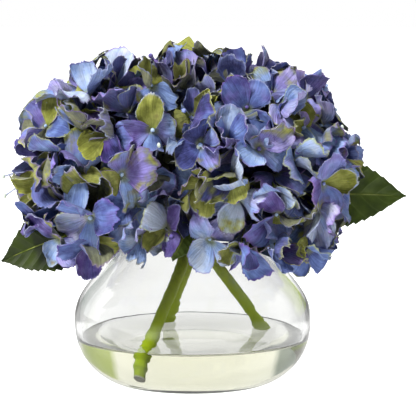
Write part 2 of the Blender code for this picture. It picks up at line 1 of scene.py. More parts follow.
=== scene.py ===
# %% [markdown]
# # Three hydrangea heads in a round glass vase
#
# The object is a bunch of cloth hydrangeas. Three heads of blue, violet and green florets stand on cut
# stems in a squat blown vase, with a little water in the bottom. A CAD model already gives the main solids
# and their places. This lesson replaces them with finer shapes and gives each one a finish, so that the
# render looks like the photograph. Helpers come first, then the seats of the florets, petals, stalks,
# beads, stems, leaves, glass and water, and at the end the studio.

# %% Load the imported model
import json
import math
import random
from functools import partial

import bpy
import numpy as np
from mathutils import Matrix, Vector, noise
from mathutils.bvhtree import BVHTree

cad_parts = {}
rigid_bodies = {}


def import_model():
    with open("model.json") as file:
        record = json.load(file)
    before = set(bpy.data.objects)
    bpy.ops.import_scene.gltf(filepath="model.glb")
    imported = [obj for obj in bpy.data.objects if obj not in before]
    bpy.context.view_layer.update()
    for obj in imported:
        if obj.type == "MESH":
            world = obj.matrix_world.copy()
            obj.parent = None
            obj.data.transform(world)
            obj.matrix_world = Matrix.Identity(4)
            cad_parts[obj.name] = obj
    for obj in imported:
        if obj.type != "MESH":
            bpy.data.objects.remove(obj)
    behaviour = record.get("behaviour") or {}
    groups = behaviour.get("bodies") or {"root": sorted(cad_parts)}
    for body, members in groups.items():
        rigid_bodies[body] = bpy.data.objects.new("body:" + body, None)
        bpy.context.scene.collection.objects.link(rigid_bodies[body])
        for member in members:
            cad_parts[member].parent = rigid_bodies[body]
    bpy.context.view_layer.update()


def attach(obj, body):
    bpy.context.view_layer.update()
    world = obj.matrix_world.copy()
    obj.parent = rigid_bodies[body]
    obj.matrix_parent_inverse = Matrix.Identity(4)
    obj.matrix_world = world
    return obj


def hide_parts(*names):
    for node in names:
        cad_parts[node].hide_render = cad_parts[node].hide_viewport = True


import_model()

MM = 0.001

# %% [markdown]
# ## The camera's place
#
# The photograph looks slightly down at the vase from about a metre and a half away. The camera comes first,
# because a few petals get their colour from where they stand in the photograph. A long lens keeps the
# upright sides of the vase nearly parallel, as they are there.

# %% Camera
PHOTO_SIZE = 416
SENSOR_WIDTH = 36.0
LENS = 218.0
CAMERA_PLACE = Vector((0.0098, -1.587, 0.3133))
CAMERA_AIM = Vector((0.0098, 0.0, 0.110))


def aimed(name, data, place, aim):
    """Puts a camera or a lamp in its place, turned towards what it looks at."""
    made = bpy.data.objects.new(name, data)
    bpy.context.scene.collection.objects.link(made)
    made.location = place
    made.rotation_euler = (Vector(aim) - Vector(place)).to_track_quat("-Z", "Y").to_euler()
    return made


camera = aimed("camera", bpy.data.cameras.new("camera"), CAMERA_PLACE, CAMERA_AIM)
camera.data.sensor_width = SENSOR_WIDTH
camera.data.lens = LENS
camera.data.clip_start = 0.05
bpy.context.scene.camera = camera


def in_photo(point):
    """The pixel of the photograph, from its top left corner, where a point of the object shows."""
    ahead = (CAMERA_AIM - CAMERA_PLACE).normalized()
    right = Vector((1.0, 0.0, 0.0))
    offset = point - CAMERA_PLACE
    scale = PHOTO_SIZE * LENS / SENSOR_WIDTH / offset.dot(ahead)
    return (
        PHOTO_SIZE / 2.0 + offset.dot(right) * scale,
        PHOTO_SIZE / 2.0 - offset.dot(right.cross(ahead)) * scale,
    )


print("the middle of the foot shows at pixel", [round(p) for p in in_photo(Vector((0.0, 0.0, 0.0)))])

# %% [markdown]
# ## Helpers for colours, nodes and pieces
#
# Colours are written as sRGB hex values, as a painter's swatch gives them, and the renderer wants linear
# light, so one function turns them. Shader trees and geometry trees are built by one function too: it adds
# a node, sets its options and fills its inputs. An input may be a number, a swatch, a socket, or another
# node, which then gives its first output in use.

# %% Colours and nodes
def linear(swatch):
    """A #rrggbb colour as linear red, green, blue and alpha."""
    parts = [int(swatch[k : k + 2], 16) / 255.0 for k in (1, 3, 5)]
    return (*[p / 12.92 if p <= 0.04045 else ((p + 0.055) / 1.055) ** 2.4 for p in parts], 1.0)


def add_node(tree, kind, *values, ramp=(), **named):
    """Adds one node. The values fill its inputs in order. A name in small letters is a setting, and one with
    a capital is an input, with underscores for spaces. A ramp gets its swatches."""
    made = tree.nodes.new(kind)
    for name, value in named.items():
        if name.islower():
            setattr(made, name, value)
    filled = list(zip(made.inputs, values))
    for name, value in named.items():
        if not name.islower():
            title = name.replace("_", " ")
            filled.append((next(s for s in made.inputs if s.enabled and s.name == title), value))
    for socket, value in filled:
        if isinstance(value, bpy.types.Node):
            value = next(s for s in value.outputs if s.enabled)
        if isinstance(value, bpy.types.NodeSocket):
            tree.links.new(value, socket)
        else:
            socket.default_value = linear(value) if str(value).startswith("#") else value
    if ramp:
        elements = made.color_ramp.elements
        elements.remove(elements[1])
        for k, (position, swatch) in enumerate(ramp):
            element = elements[0] if k == 0 else elements.new(position)
            element.position = position
            element.color = linear(swatch)
    return made


SMOOTH = {"interpolation_type": "SMOOTHSTEP"}
print("swatch #808080 is", round(linear("#808080")[0], 3), "in linear light")


# %% Materials
def new_material(name):
    """An empty material, and the function that adds nodes to it."""
    material = bpy.data.materials.new(name)
    material.use_nodes = True
    material.node_tree.nodes.clear()
    return material, partial(add_node, material.node_tree)


def speckled(name, per_metre, detail, swatches, roughness, bump_depth=0.0):
    """A plain material: one noise, with so many specks to a metre, drives its colour and its bumps."""
    material, add = new_material(name)
    spot = add("ShaderNodeTexCoord").outputs["Object"]
    specks = add("ShaderNodeTexNoise", Vector=spot, Scale=per_metre, Detail=detail)
    colour = add("ShaderNodeValToRGB", specks, ramp=swatches)
    skin = add("ShaderNodeBsdfPrincipled", Base_Color=colour, Roughness=roughness)
    if bump_depth:
        bump = add("ShaderNodeBump", Height=specks, Strength=0.8, Distance=bump_depth)
        material.node_tree.links.new(bump.outputs[0], skin.inputs["Normal"])
    add("ShaderNodeOutputMaterial", Surface=skin)
    return material


# %% Meshes and pieces
def new_object(name, mesh):
    made = bpy.data.objects.new(name, mesh)
    bpy.context.scene.collection.objects.link(made)
    return made


def new_mesh(name, points, faces=(), edges=(), finish=None):
    mesh = bpy.data.meshes.new(name)
    mesh.from_pydata(np.asarray(points, float).tolist(), edges, faces)
    if faces:
        mesh.shade_smooth()
    if finish:
        mesh.materials.append(finish)
    return mesh


def store(mesh, name, values, kind="FLOAT"):
    """Keeps a number, or a vector, for each point of a mesh."""
    field = "vector" if kind == "FLOAT_VECTOR" else "value"
    mesh.attributes.new(name, kind, "POINT").data.foreach_set(field, np.ravel(values).tolist())


def points_of(mesh):
    flat = np.empty(len(mesh.vertices) * 3, np.float32)
    mesh.vertices.foreach_get("co", flat)
    return flat.reshape(-1, 3).astype(float)


def grid_faces(rows, columns):
    """The quads of a grid whose points come row by row."""
    wide = columns + 1
    return [(k, k + wide, k + wide + 1, k + 1) for k in range(rows * wide) if k % wide < columns]


def finish_piece(piece, slot, *nodes):
    """The piece rides on the one body and stands for the named CAD nodes, which it hides. The slot is not
    used.
    """
    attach(piece, "root")
    if nodes:
        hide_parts(*nodes)
    piece.data.calc_loop_triangles()
    print(f"{piece.name}: {len(piece.data.loop_triangles)} triangles")
    return piece


def grown(name, source, tree, inputs):
    """Runs a geometry tree on an object, and keeps what it makes as a plain mesh in a new object."""
    modifier = source.modifiers.new("grow", "NODES")
    modifier.node_group = tree
    for item in tree.interface.items_tree:
        if item.name in inputs:
            modifier[item.identifier] = inputs[item.name]
    bpy.context.view_layer.update()
    graph = bpy.context.evaluated_depsgraph_get()
    mesh = bpy.data.meshes.new_from_object(
        source.evaluated_get(graph), preserve_all_data_layers=True, depsgraph=graph
    )
    bpy.data.objects.remove(source)
    mesh.name = name
    return new_object(name, mesh)


# %% [markdown]
# ## The frame's own rule for the florets
#
# The CAD model seats 71 florets on the outsides of three balls. It spreads them with the golden angle, lets
# the heads swell where they press on each other, and leaves room for the vase's mouth and the leaves. The
# petals here must open in the same places, so the same rule is written out again, from the same values.

# %% Values of the heads
FLORETS = 71
CANDIDATES_ON_A_BALL = 350
EVENING_ROUNDS = 12
FLORET_SEAT_RADIUS = 53.0 * MM
ROOT_RADIUS = 26.0 * MM
STAGGER = 4.5 * MM
STAGGER_SPREAD = 0.33
GOLDEN_ANGLE = math.pi * (3.0 - math.sqrt(5.0))
TILT = 16.0
CUP_LOW = 6.0
CUP_HIGH = 38.0
PETALS = 4
PETAL_LENGTH = 25.0 * MM
PETAL_LENGTH_SPREAD = (0.90, 1.08)
BULGE = 0.30
BULGE_FROM = 0.20
BULGE_TO = 0.70
BULGE_TURN = 0.75
PRESS_REACH = 6.0 * MM
HANG_FROM = 116.0 * MM
HANG_TO = 100.0 * MM
MOUTH_TOP = 104.0 * MM
MOUTH_RADIUS = 56.0 * MM
NECK_RING = 59.0 * MM
INSIDE_TOP = 150.0 * MM
INSIDE_RADIUS = 26.0 * MM
STEM_SIDE = -0.86
LEAF_ROOM = 7.0 * MM
LEAF_ROOM_SHARE = 0.42

HEADS = {
    "left": {"centre": (-44.0, -11.0, 141.0), "seed": 11},
    "right": {"centre": (42.0, -11.0, 139.0), "seed": 23},
    "middle": {"centre": (5.0, 31.0, 150.0), "seed": 37},
}
PARTING_TURNS = {("left", "right"): -10.0, ("left", "middle"): -8.0, ("right", "middle"): 0.0}

# %% Values of the leaves: stem, height on it, stalk, blade's base and tip, width, the way it faces, arch,
# and the painted shade on its colour, a factor where it is not 1
LEAVES = {
    "right_outer": {
        "stem": "right", "height": 112, "stalk": ((32, 10, 110),),
        "base": (54, 33, 114), "tip": (137, 14, 116), "width": 47,
        "faces": (0.15, -0.93, 0.30), "arch": 6,
    },
    "left_outer": {
        "stem": "left", "height": 98, "stalk": ((-22, -26, 103), (-42, -33, 106)),
        "base": (-58, -34, 102), "tip": (-120, -22, 79), "width": 44,
        "faces": (-0.25, -0.85, 0.45), "arch": 5, "dye": 0.33,
    },
    "left_front": {
        "stem": "left", "height": 112, "stalk": ((-21, -24, 109),),
        "base": (-27, -38, 108), "tip": (-55, -53, 91), "width": 30,
        "faces": (-0.15, -0.75, 0.65), "arch": 4,
    },
    "right_front": {
        "stem": "right", "height": 102, "stalk": ((6, -26, 104),),
        "base": (0, -44, 105), "tip": (-12, -55, 84), "width": 24,
        "faces": (-0.05, -0.85, 0.50), "arch": 4,
    },
    "middle_back": {
        "stem": "middle", "height": 112, "stalk": ((4, 44, 108),),
        "base": (14, 66, 108), "tip": (36, 122, 92), "width": 44,
        "faces": (0.10, 0.45, 0.89), "arch": 8,
    },
    "left_back": {
        "stem": "left", "height": 114, "stalk": ((-36, 18, 107),),
        "base": (-56, 38, 108), "tip": (-104, 74, 92), "width": 42,
        "faces": (-0.30, 0.40, 0.87), "arch": 8,
    },
}


# %% Where a floret may sit
def millimetres(point):
    return Vector(point) * MM


def held(share):
    """A number kept between 0 and 1."""
    return max(0.0, min(1.0, share))


def head_centre(name):
    return millimetres(HEADS[name]["centre"])


def meeting_line():
    """The line that is equally far from the three heads' centres: a point of it, and the way it runs up."""
    corner, first, second = (head_centre(name) for name in HEADS)
    a, b = first - corner, second - corner
    upright = a.cross(b)
    towards = b.length_squared * upright.cross(a) + a.length_squared * b.cross(upright)
    return corner + towards / (2.0 * upright.length_squared), upright.normalized()


def partings(name):
    """For each neighbour, a point of the parting plane and the way from it into this head."""
    point, upright = meeting_line()
    planes = []
    for (first, second), turn in PARTING_TURNS.items():
        if name in (first, second):
            facing = (head_centre(second) - head_centre(first)).normalized()
            facing.rotate(Matrix.Rotation(math.radians(turn), 3, upright))
            planes.append((point, -facing if name == first else facing))
    return planes


def distance_to_segment(point, start, end):
    line = end - start
    share = held((point - start).dot(line) / line.length_squared)
    return (point - start - line * share).length


def leaf_axes(leaf):
    """A leaf's own directions: along it, across it and out of its face."""
    forward = (millimetres(leaf["tip"]) - millimetres(leaf["base"])).normalized()
    facing = Vector(leaf["faces"])
    facing = (facing - forward * facing.dot(forward)).normalized()
    return forward, facing.cross(forward).normalized(), facing


def leans_on(direction, name):
    """The way to the neighbour that a direction faces most, and how strongly the heads press there."""
    ways = [(head_centre(other) - head_centre(name)).normalized() for other in HEADS if other != name]
    way = max(ways, key=direction.dot)
    share = held((direction.dot(way) - BULGE_FROM) / (BULGE_TO - BULGE_FROM))
    return way, share * share * (3.0 - 2.0 * share)


def has_room(seat, direction, name):
    """Whether a floret can open there: on its head's side of the partings, off the vase and the leaves."""
    for middle, inward in partings(name):
        if (seat - middle).dot(inward) < -PRESS_REACH:
            return False
    from_axis = math.hypot(seat.x, seat.y)
    if seat.z < MOUTH_TOP and from_axis < MOUTH_RADIUS:
        return False
    if seat.z < INSIDE_TOP and from_axis < INSIDE_RADIUS:
        return False
    if direction.z < STEM_SIDE:
        return False
    for leaf in LEAVES.values():
        start, end = millimetres(leaf["base"]), millimetres(leaf["tip"])
        off_blade = abs((seat - start).dot(leaf_axes(leaf)[2]))
        beside = distance_to_segment(seat, start, end)
        if off_blade < LEAF_ROOM and beside < LEAF_ROOM_SHARE * leaf["width"] * MM:
            return False
    return True


def beside_neck(seat):
    """Slides a seat that is over the vase's mouth out to a ring round the neck."""
    from_axis = math.hypot(seat.x, seat.y)
    if seat.z > MOUTH_TOP or not INSIDE_RADIUS < from_axis < NECK_RING:
        return seat
    return Vector((seat.x * NECK_RING / from_axis, seat.y * NECK_RING / from_axis, seat.z))


def hanging(outward, seat):
    """Low florets face sideways rather than down, so that their petals hang over the vase's shoulder."""
    share = held((HANG_FROM - seat.z) / (HANG_FROM - HANG_TO))
    return Vector((outward.x, outward.y, outward.z * (1.0 - share))).normalized()


print("the heads meet on a line through", [round(c / MM) for c in meeting_line()[0]], "mm")

# %% The seats, spread evenly over all the heads
def directions_round_a_ball(count):
    """Evenly spread directions, from the top down a golden spiral."""
    ways = []
    for i in range(count):
        up = 1.0 - (2.0 * i + 1.0) / count
        ring = math.sqrt(1.0 - up * up)
        ways.append(Vector((ring * math.cos(i * GOLDEN_ANGLE), ring * math.sin(i * GOLDEN_ANGLE), up)))
    return ways


def places_for_florets():
    places = []
    for name in HEADS:
        for direction in directions_round_a_ball(CANDIDATES_ON_A_BALL):
            way, share = leans_on(direction, name)
            reach = FLORET_SEAT_RADIUS * (1.0 + BULGE * share)
            seat = beside_neck(head_centre(name) + direction * reach)
            if has_room(seat, direction, name):
                outward = hanging(direction - way * (BULGE_TURN * share * direction.dot(way)), seat)
                places.append({"head": name, "seat": seat, "direction": direction, "outward": outward})
    return places


def farthest_added(seats, chosen, count):
    """Adds places one by one, each the farthest from all those chosen before."""
    chosen = list(chosen)
    while len(chosen) < count:
        nearest = np.linalg.norm(seats[:, None] - seats[chosen][None], axis=2).min(axis=1)
        chosen.append(int(nearest.argmax()))
    return chosen


def evened_out(seats, chosen):
    """Moves each chosen place to the middle of what it covers, over and over."""
    for _ in range(EVENING_ROUNDS):
        owner = np.linalg.norm(seats[:, None] - seats[chosen][None], axis=2).argmin(axis=1)
        middles = np.array([seats[owner == k].mean(axis=0) for k in range(len(chosen))])
        chosen = sorted({int(np.linalg.norm(seats - middle, axis=1).argmin()) for middle in middles})
        chosen = farthest_added(seats, chosen, FLORETS)
    return chosen


places = places_for_florets()
seats = np.array([place["seat"] for place in places])
main_places = evened_out(seats, farthest_added(seats, [0], FLORETS))
print(f"{len(main_places)} florets chosen from {len(places)} places")


# %% [markdown]
# ## Fuller heads
#
# A real head is a crowd: behind each open floret others push through, more tilted and more folded. The CAD
# solids keep to 71 florets so that they stay light. Here 64 more fill the widest spaces between them, seven
# are listed one by one where the photograph shows petals hanging over a leaf or the glass, and an inner
# layer of loose petals round each core closes the gaps, so that the eye never meets a bare ball.

# %% Plans of the florets: where each sits, how it leans, and its petals
FILLING_FLORETS = 64
FILLING_DEPTH = (-7.0 * MM, 3.0 * MM)
FILLING_TILT = 36.0
FILLING_CUP = (28.0, 84.0)
HAND_SET_TILT = 20.0
HAND_SET_CUP = (10.0, 55.0)
HAND_SET_FLORETS = (
    # head, seat in mm, the way it faces
    ("left", (-82, -42, 96), (-0.45, -0.88, -0.15)),
    ("left", (-63, -52, 95), (-0.25, -0.95, -0.15)),
    ("left", (-97, -32, 102), (-0.70, -0.70, -0.05)),
    ("left", (-32, -59, 99), (-0.05, -0.99, -0.10)),
    ("right", (30, -55, 95), (0.00, -0.99, -0.10)),
    ("right", (52, -52, 91), (0.20, -0.97, -0.10)),
    ("right", (70, -42, 91), (0.45, -0.88, -0.10)),
)
INNER_FLORETS_ON_A_BALL = 46
INNER_SEAT_RADIUS = 40.0 * MM
INNER_TILT = 40.0
INNER_CUP = (20.0, 62.0)


def leaning(draw, most):
    """A turn about two axes, each by an angle drawn at random, up to the most degrees."""
    about_x, about_y = [math.radians(draw.uniform(-most, most)) for _ in range(2)]
    return Matrix.Rotation(about_x, 4, "X") @ Matrix.Rotation(about_y, 4, "Y")


def floret_plan(place, draw, depth, tilt, cups):
    lean = leaning(draw, tilt)
    roll = math.radians(draw.uniform(0.0, 90.0))
    petals = [
        {
            "cup": draw.uniform(*cups),
            "length": draw.uniform(*PETAL_LENGTH_SPREAD),
            "wave": draw.uniform(-1.0, 1.0),
        }
        for _ in range(PETALS)
    ]
    facing = place["outward"].to_track_quat("Z", "Y").to_matrix().to_4x4()
    seat = Matrix.Translation(place["seat"] + place["outward"] * depth)
    return {
        "head": place["head"],
        "frame": seat @ facing @ lean @ Matrix.Rotation(roll, 4, "Z"),
        "root": head_centre(place["head"]) + place["direction"] * ROOT_RADIUS,
        "petals": petals,
    }


def main_plans():
    """The CAD model's own florets: the draws come in its order, so the petals open in its places."""
    plans = []
    for i, k in enumerate(main_places):
        draw = random.Random(1000 * HEADS[places[k]["head"]]["seed"] + i)
        depth = STAGGER * (i % 3 - 1 + draw.uniform(-STAGGER_SPREAD, STAGGER_SPREAD))
        plans.append(floret_plan(places[k], draw, depth, TILT, (CUP_LOW, CUP_HIGH)))
    return plans


def filling_plans():
    chosen = farthest_added(seats, main_places, FLORETS + FILLING_FLORETS)[FLORETS:]
    draw = random.Random(71)
    return [
        floret_plan(places[k], draw, draw.uniform(*FILLING_DEPTH), FILLING_TILT, FILLING_CUP)
        for k in chosen
    ]


def inner_plans():
    plans = []
    draw = random.Random(340)
    for name in HEADS:
        for direction in directions_round_a_ball(INNER_FLORETS_ON_A_BALL):
            seat = head_centre(name) + direction * INNER_SEAT_RADIUS
            crossed = any((seat - middle).dot(inward) < 0.0 for middle, inward in partings(name))
            if direction.z < STEM_SIDE or crossed or seat.z < MOUTH_TOP:
                continue
            place = {"head": name, "seat": seat, "direction": direction, "outward": direction}
            plans.append(floret_plan(place, draw, 0.0, INNER_TILT, INNER_CUP))
    return plans


def hand_set_plans():
    draw = random.Random(7)
    plans = []
    for name, seat, outward in HAND_SET_FLORETS:
        place = {
            "head": name,
            "seat": millimetres(seat),
            "direction": (millimetres(seat) - head_centre(name)).normalized(),
            "outward": Vector(outward).normalized(),
        }
        plans.append(floret_plan(place, draw, 0.0, HAND_SET_TILT, HAND_SET_CUP))
    return plans


open_florets = main_plans()
filling_florets = filling_plans() + hand_set_plans()
inner_florets = inner_plans()
print(len(open_florets), "open,", len(filling_florets), "filling and", len(inner_florets), "inner florets")

# %% [markdown]
# ## One thin sheet for petals and leaves
#
# A cloth petal and a cloth leaf are both a thin sheet with two faces and a cut edge. A Solidify modifier
# could give the thickness, but the finish has to know which side is which and where the cut edge is. So one
# function closes a sheet itself: it lifts one copy, lowers the other, joins them along the border, and
# stores where each point lies. The border's edges are marked sharp, so the cut edge catches the light.

# %% Closing a sheet
def thin_sheet(name, points, faces, across, along, rim, thickness):
    """A closed thin solid. Its points carry place (across, along, underside) and rim (how near the edge)."""
    points = np.asarray(points, float)
    count = len(points)
    normals = np.zeros_like(points)
    for face in faces:
        for k in range(1, len(face) - 1):
            trio = [face[0], face[k], face[k + 1]]
            a, b, c = points[trio]
            normals[trio] += np.cross(b - a, c - a)
    normals /= np.linalg.norm(normals, axis=1)[:, None]
    both = np.concatenate([points + normals * thickness / 2.0, points - normals * thickness / 2.0])
    directed = {(face[k], face[(k + 1) % len(face)]) for face in faces for k in range(len(face))}
    border = sorted((a, b) for a, b in directed if (b, a) not in directed)
    skin = [tuple(face) for face in faces]
    skin += [tuple(count + k for k in reversed(face)) for face in faces]
    skin += [(count + a, count + b, b, a) for a, b in border]
    mesh = new_mesh(name, both, skin)
    under = np.repeat([0.0, 1.0], count)
    store(mesh, "place", np.stack([np.tile(across, 2), np.tile(along, 2), under], axis=1), "FLOAT_VECTOR")
    store(mesh, "rim", np.tile(rim, 2))
    cut_edges = {frozenset((side * count + a, side * count + b)) for a, b in border for side in (0, 1)}
    for edge in mesh.edges:
        edge.use_edge_sharp = frozenset(edge.vertices) in cut_edges
    return mesh


# %% [markdown]
# ## Petal shapes
#
# Cloth petals are stamped from a few dies and then curled by hand and heat, so a small set of shapes, each
# used many times and bent a little differently, is how the real ones are made too. Each petal here is a
# broad fan, narrow at its root and round at its end, drawn on a grid that is rolled across, bent along,
# twisted, ruffled and creased. Its last band is three times as fine, so that its cut edge can be ragged.

# %% The outline and the bend of one petal
PETAL_HALF_WIDTH = 12.6 * MM
PETAL_THICKNESS = 0.26 * MM
ROOT_WIDTH, FULL_WIDTH, WIDEST_AT, WIDTH_POWER = 0.13, 0.87, 0.82, 1.25
INNER_SHARE = 0.93
ROUNDING, ROUNDING_POWER = 0.30, 2.4
ROLL_AT_ROOT = 0.35
CREASE_WIDTH = 0.16
CURL_FROM, CURL_SPAN = 0.72, 0.28


def petal_skin(across, along, form):
    """Where a place of the flat fan goes when the petal is rolled, bent, twisted and ruffled."""
    ripe = np.clip(along, 0.0, 1.1)
    widening = np.sin(np.minimum(ripe / WIDEST_AT, 1.12) * math.pi / 2.0) ** WIDTH_POWER
    spread = PETAL_HALF_WIDTH * (ROOT_WIDTH + FULL_WIDTH * widening)
    roll = form["roll"] * (ROLL_AT_ROOT + (1.0 - ROLL_AT_ROOT) * ripe)
    sideways = spread * np.sin(roll * across) / roll + form["skew"] * ripe**2
    lift = spread * (1.0 - np.cos(roll * across)) / roll
    edge = np.clip(np.maximum(np.abs(across), ripe), 0.0, 1.0) ** 3
    lift = lift + form["ruffle"] * edge * ripe * np.sin(form["waves"] * math.pi * across + form["phase"])
    lift = lift + form["crease"] * ripe * np.exp(-(((across - form["crease_at"]) / CREASE_WIDTH) ** 2))
    lift = lift + form["curl"] * np.clip((ripe - CURL_FROM) / CURL_SPAN, 0.0, 1.2) ** 2
    twist = form["twist"] * ripe
    sideways, lift = (
        sideways * np.cos(twist) - lift * np.sin(twist),
        sideways * np.sin(twist) + lift * np.cos(twist),
    )
    run = PETAL_LENGTH * ripe * (1.0 - ROUNDING * np.abs(np.clip(across, -1.0, 1.0)) ** ROUNDING_POWER)
    turn = form["bend"] * run / PETAL_LENGTH
    forward = PETAL_LENGTH * np.sin(turn) / form["bend"]
    rise = PETAL_LENGTH * (1.0 - np.cos(turn)) / form["bend"]
    return np.stack([forward - lift * np.sin(turn), sideways, rise + lift * np.cos(turn)], axis=-1)


def petal_form(draw, wild):
    """The bends of one die. A wild one is rolled and curled much more."""
    roll = draw.choice([-1.0, 1.0, 1.0, 1.0]) * draw.uniform(0.35 + 0.25 * wild, 0.95 + 0.8 * wild)
    bend = draw.choice([-1.0, -1.0, 1.0]) * draw.uniform(0.2, 0.8 + 0.7 * wild)
    return {
        "roll": roll,
        "bend": bend,
        "skew": draw.uniform(-2.5, 2.5) * MM,
        "ruffle": draw.uniform(0.8, 2.0 + wild) * MM,
        "waves": draw.uniform(1.3, 3.2),
        "phase": draw.uniform(0.0, math.tau),
        "crease": draw.uniform(-2.1, 2.1) * MM,
        "crease_at": draw.uniform(-0.6, 0.6),
        "curl": draw.uniform(-3.6, 2.8) * MM,
        "twist": draw.uniform(-0.35, 0.35) * (1.0 + wild),
    }


# %% A petal's mesh, with its ragged edge
RAGGED = 0.050
NOTCH_CHANCE = 0.05
NOTCH_DEPTH = 0.09
RAGGED_FROM = 0.3
PULLED_FROM = 0.4
RIM_INSIDE = 0.7


def petal_die(name, draw, columns, rows, wild):
    grid = [
        (INNER_SHARE * (2.0 * i / columns - 1.0), INNER_SHARE * j / rows)
        for j in range(rows + 1)
        for i in range(columns + 1)
    ]
    wide = columns + 1
    faces = grid_faces(rows, columns)
    # Up the left side, over the end and down the right side
    border = [j * wide for j in range(rows + 1)] + [rows * wide + i for i in range(1, wide)]
    border += [j * wide + columns for j in range(rows - 1, -1, -1)]
    cut = [(grid[k][0] / INNER_SHARE, grid[k][1] / INNER_SHARE) for k in border]
    outline = [cut[0]]
    for before, after in zip(cut, cut[1:]):
        for share in (1.0 / 3.0, 2.0 / 3.0, 1.0):
            outline.append([low + (high - low) * share for low, high in zip(before, after)])
    ragged = []
    for x, y in outline:
        pull = draw.uniform(-RAGGED, RAGGED) - (NOTCH_DEPTH if draw.random() < NOTCH_CHANCE else 0.0)
        pull *= held((y - RAGGED_FROM) / RAGGED_FROM)
        ragged.append((x * (1.0 + pull), y + (y - PULLED_FROM) * pull))
    first = len(grid)
    for k, (a, b) in enumerate(zip(border, border[1:])):
        n = first + 3 * k
        faces += [(a, n, n + 1), (a, n + 1, n + 2), (a, n + 2, b), (b, n + 2, n + 3)]
    across, along = np.array(grid + ragged).T
    rim = np.maximum(np.abs(across), along) ** 2 * RIM_INSIDE
    rim[first:] = 1.0
    points = petal_skin(across, along, petal_form(draw, wild))
    return thin_sheet(name, points, faces, across, along, rim, PETAL_THICKNESS)


def shape_library(name, meshes):
    """A collection of shapes, which a geometry tree picks from by number, in the order of their names."""
    library = bpy.data.collections.new(name)
    bpy.context.scene.collection.children.link(library)
    for mesh in meshes:
        library.objects.link(bpy.data.objects.new(mesh.name, mesh))
    return library


PETAL_GRID = (10, 7)
INNER_GRID = (4, 3)
PETAL_DIES = 28
WILD_DIES = 12
INNER_DIES = 8
INNER_WILD_FROM = 2
INNER_WILDNESS = 0.7
WILD_FROM = PETAL_DIES - WILD_DIES
die_draw = random.Random(26)
petal_dies = shape_library(
    "petal dies",
    [
        petal_die(f"petal_die_{i:02d}", die_draw, *PETAL_GRID, 1.0 if i >= WILD_FROM else 0.0)
        for i in range(PETAL_DIES)
    ],
)
inner_dies = shape_library(
    "inner dies",
    [petal_die(f"inner_die_{i:02d}", die_draw, *INNER_GRID, INNER_WILDNESS) for i in range(INNER_DIES)],
)

# %% [markdown]
# ## Which petal is which colour
#
# The cloth is dyed unevenly. Most florets are sky blue or periwinkle, a few nearly white, some violet, and
# about one petal in six is olive or yellow-green, or has a green tip. Each petal gets three numbers: its
# tone from pale to dark, how green it is, and one of its own, which picks its rim's tint and its share of
# the violet dye. They are drawn at random. Then, where the photograph shows a plainly green, pale, violet
# or dark blue petal, the foremost petal there takes that tone and greenness. Many of the violet spots lie
# in the valley between the heads, where their dark tone is painted shade as well.

# %% Colour numbers
SPOT_REACH = 9.0
GREEN_SPOTS = (
    (66, 99), (58, 109), (45, 132), (92, 109), (97, 114), (92, 145), (93, 141), (86, 165), (24, 156),
    (140, 71), (152, 73), (182, 72), (192, 76), (130, 108), (151, 107), (150, 155), (202, 57), (225, 79),
    (303, 115), (303, 125), (232, 190), (338, 186), (288, 214), (113, 178), (38, 182), (96, 205), (62, 232),
    (266, 258), (158, 246), (175, 202),
)
PALE_SPOTS = (
    (109, 118), (97, 128), (172, 82), (238, 112), (272, 92), (278, 192), (145, 240), (74, 218), (228, 166),
    (124, 62), (140, 62), (165, 222), (66, 88), (325, 235), (213, 61), (56, 194), (309, 223), (263, 60),
)
# Dark tone: violet petals, and in the valley between the heads painted shade as well
VIOLET_AND_PAINTED_SHADE_SPOTS = (
    (196, 105), (203, 120), (182, 150), (214, 150), (222, 160), (250, 165), (330, 92), (316, 84), (110, 76),
    (190, 128), (180, 118), (240, 142), (206, 135),
)
DEEP_BLUE_SPOTS = (
    (254, 88), (191, 97), (71, 177), (241, 191), (208, 206), (270, 207), (258, 229), (76, 250), (90, 262),
    (35, 238), (109, 210), (236, 127), (103, 225), (277, 145), (44, 226), (246, 254),
)
SPOT_TINTS = (
    (GREEN_SPOTS, (0.5, 1.0)), (PALE_SPOTS, (0.02, 0.12)), (VIOLET_AND_PAINTED_SHADE_SPOTS, (0.86, 0.05)),
    (DEEP_BLUE_SPOTS, (0.70, 0.05)),
)
FAMILIES = (
    # usual tone of a floret's petals, and how many florets have it
    (0.08, 0.05), (0.26, 0.31), (0.46, 0.33), (0.66, 0.21), (0.84, 0.10),
)
GREEN_FLORETS = {"left": 0.17, "right": 0.10, "middle": 0.15}
GREEN_PETALS = 0.09
print(sum(len(spots) for spots, _ in SPOT_TINTS), "spots ask for a colour of their own")


def petal_tint(floret_tone, green_floret, draw):
    """Tone from pale to deep, greenness, and its own number, for one petal."""
    tone = held(floret_tone + draw.uniform(-0.15, 0.15))
    green = draw.choice([0.0, 0.0, 0.1, 0.3, 0.45])
    if green_floret or draw.random() < GREEN_PETALS:
        green = draw.uniform(0.75, 1.0)
    return [tone, green, draw.random()]


# %% Room between petals: each is tried several ways, and the way that cuts its neighbours least is kept
TRIES = 9
NEIGHBOUR_REACH = 24.0 * MM
EXTRA_LEAN = 28.0
EXTRA_CUP = 26.0
LESS_CUPPED = 0.74
LESS_CUP_TRIED = -8.0
TURN_SPREAD = 0.15
LIFTS = (-0.3 * MM, 0.6 * MM)
LIFT_SPREAD = (-1.0 * MM, 2.0 * MM)
ROOT_OUT = 0.8 * MM
ROLL_OF_WAVE, ROLL_SPREAD = 0.35, 0.3
LENGTH_SHARES = (0.78, 1.0)
WIDTH_SHARES = (0.86, 1.10)
MIDDLE_AT = 0.55
WILD_SHARE = 0.40
CLEAR_OF_ROOT = 2


def middle_sheets(library, columns, rows):
    """Each die's grid without its root, where the petals of one floret always touch."""
    wide = columns + 1
    kept = range(CLEAR_OF_ROOT * wide, (rows + 1) * wide)
    faces = grid_faces(rows - CLEAR_OF_ROOT, columns)
    return [np.array([shape.data.vertices[k].co for k in kept]) for shape in library.objects], faces


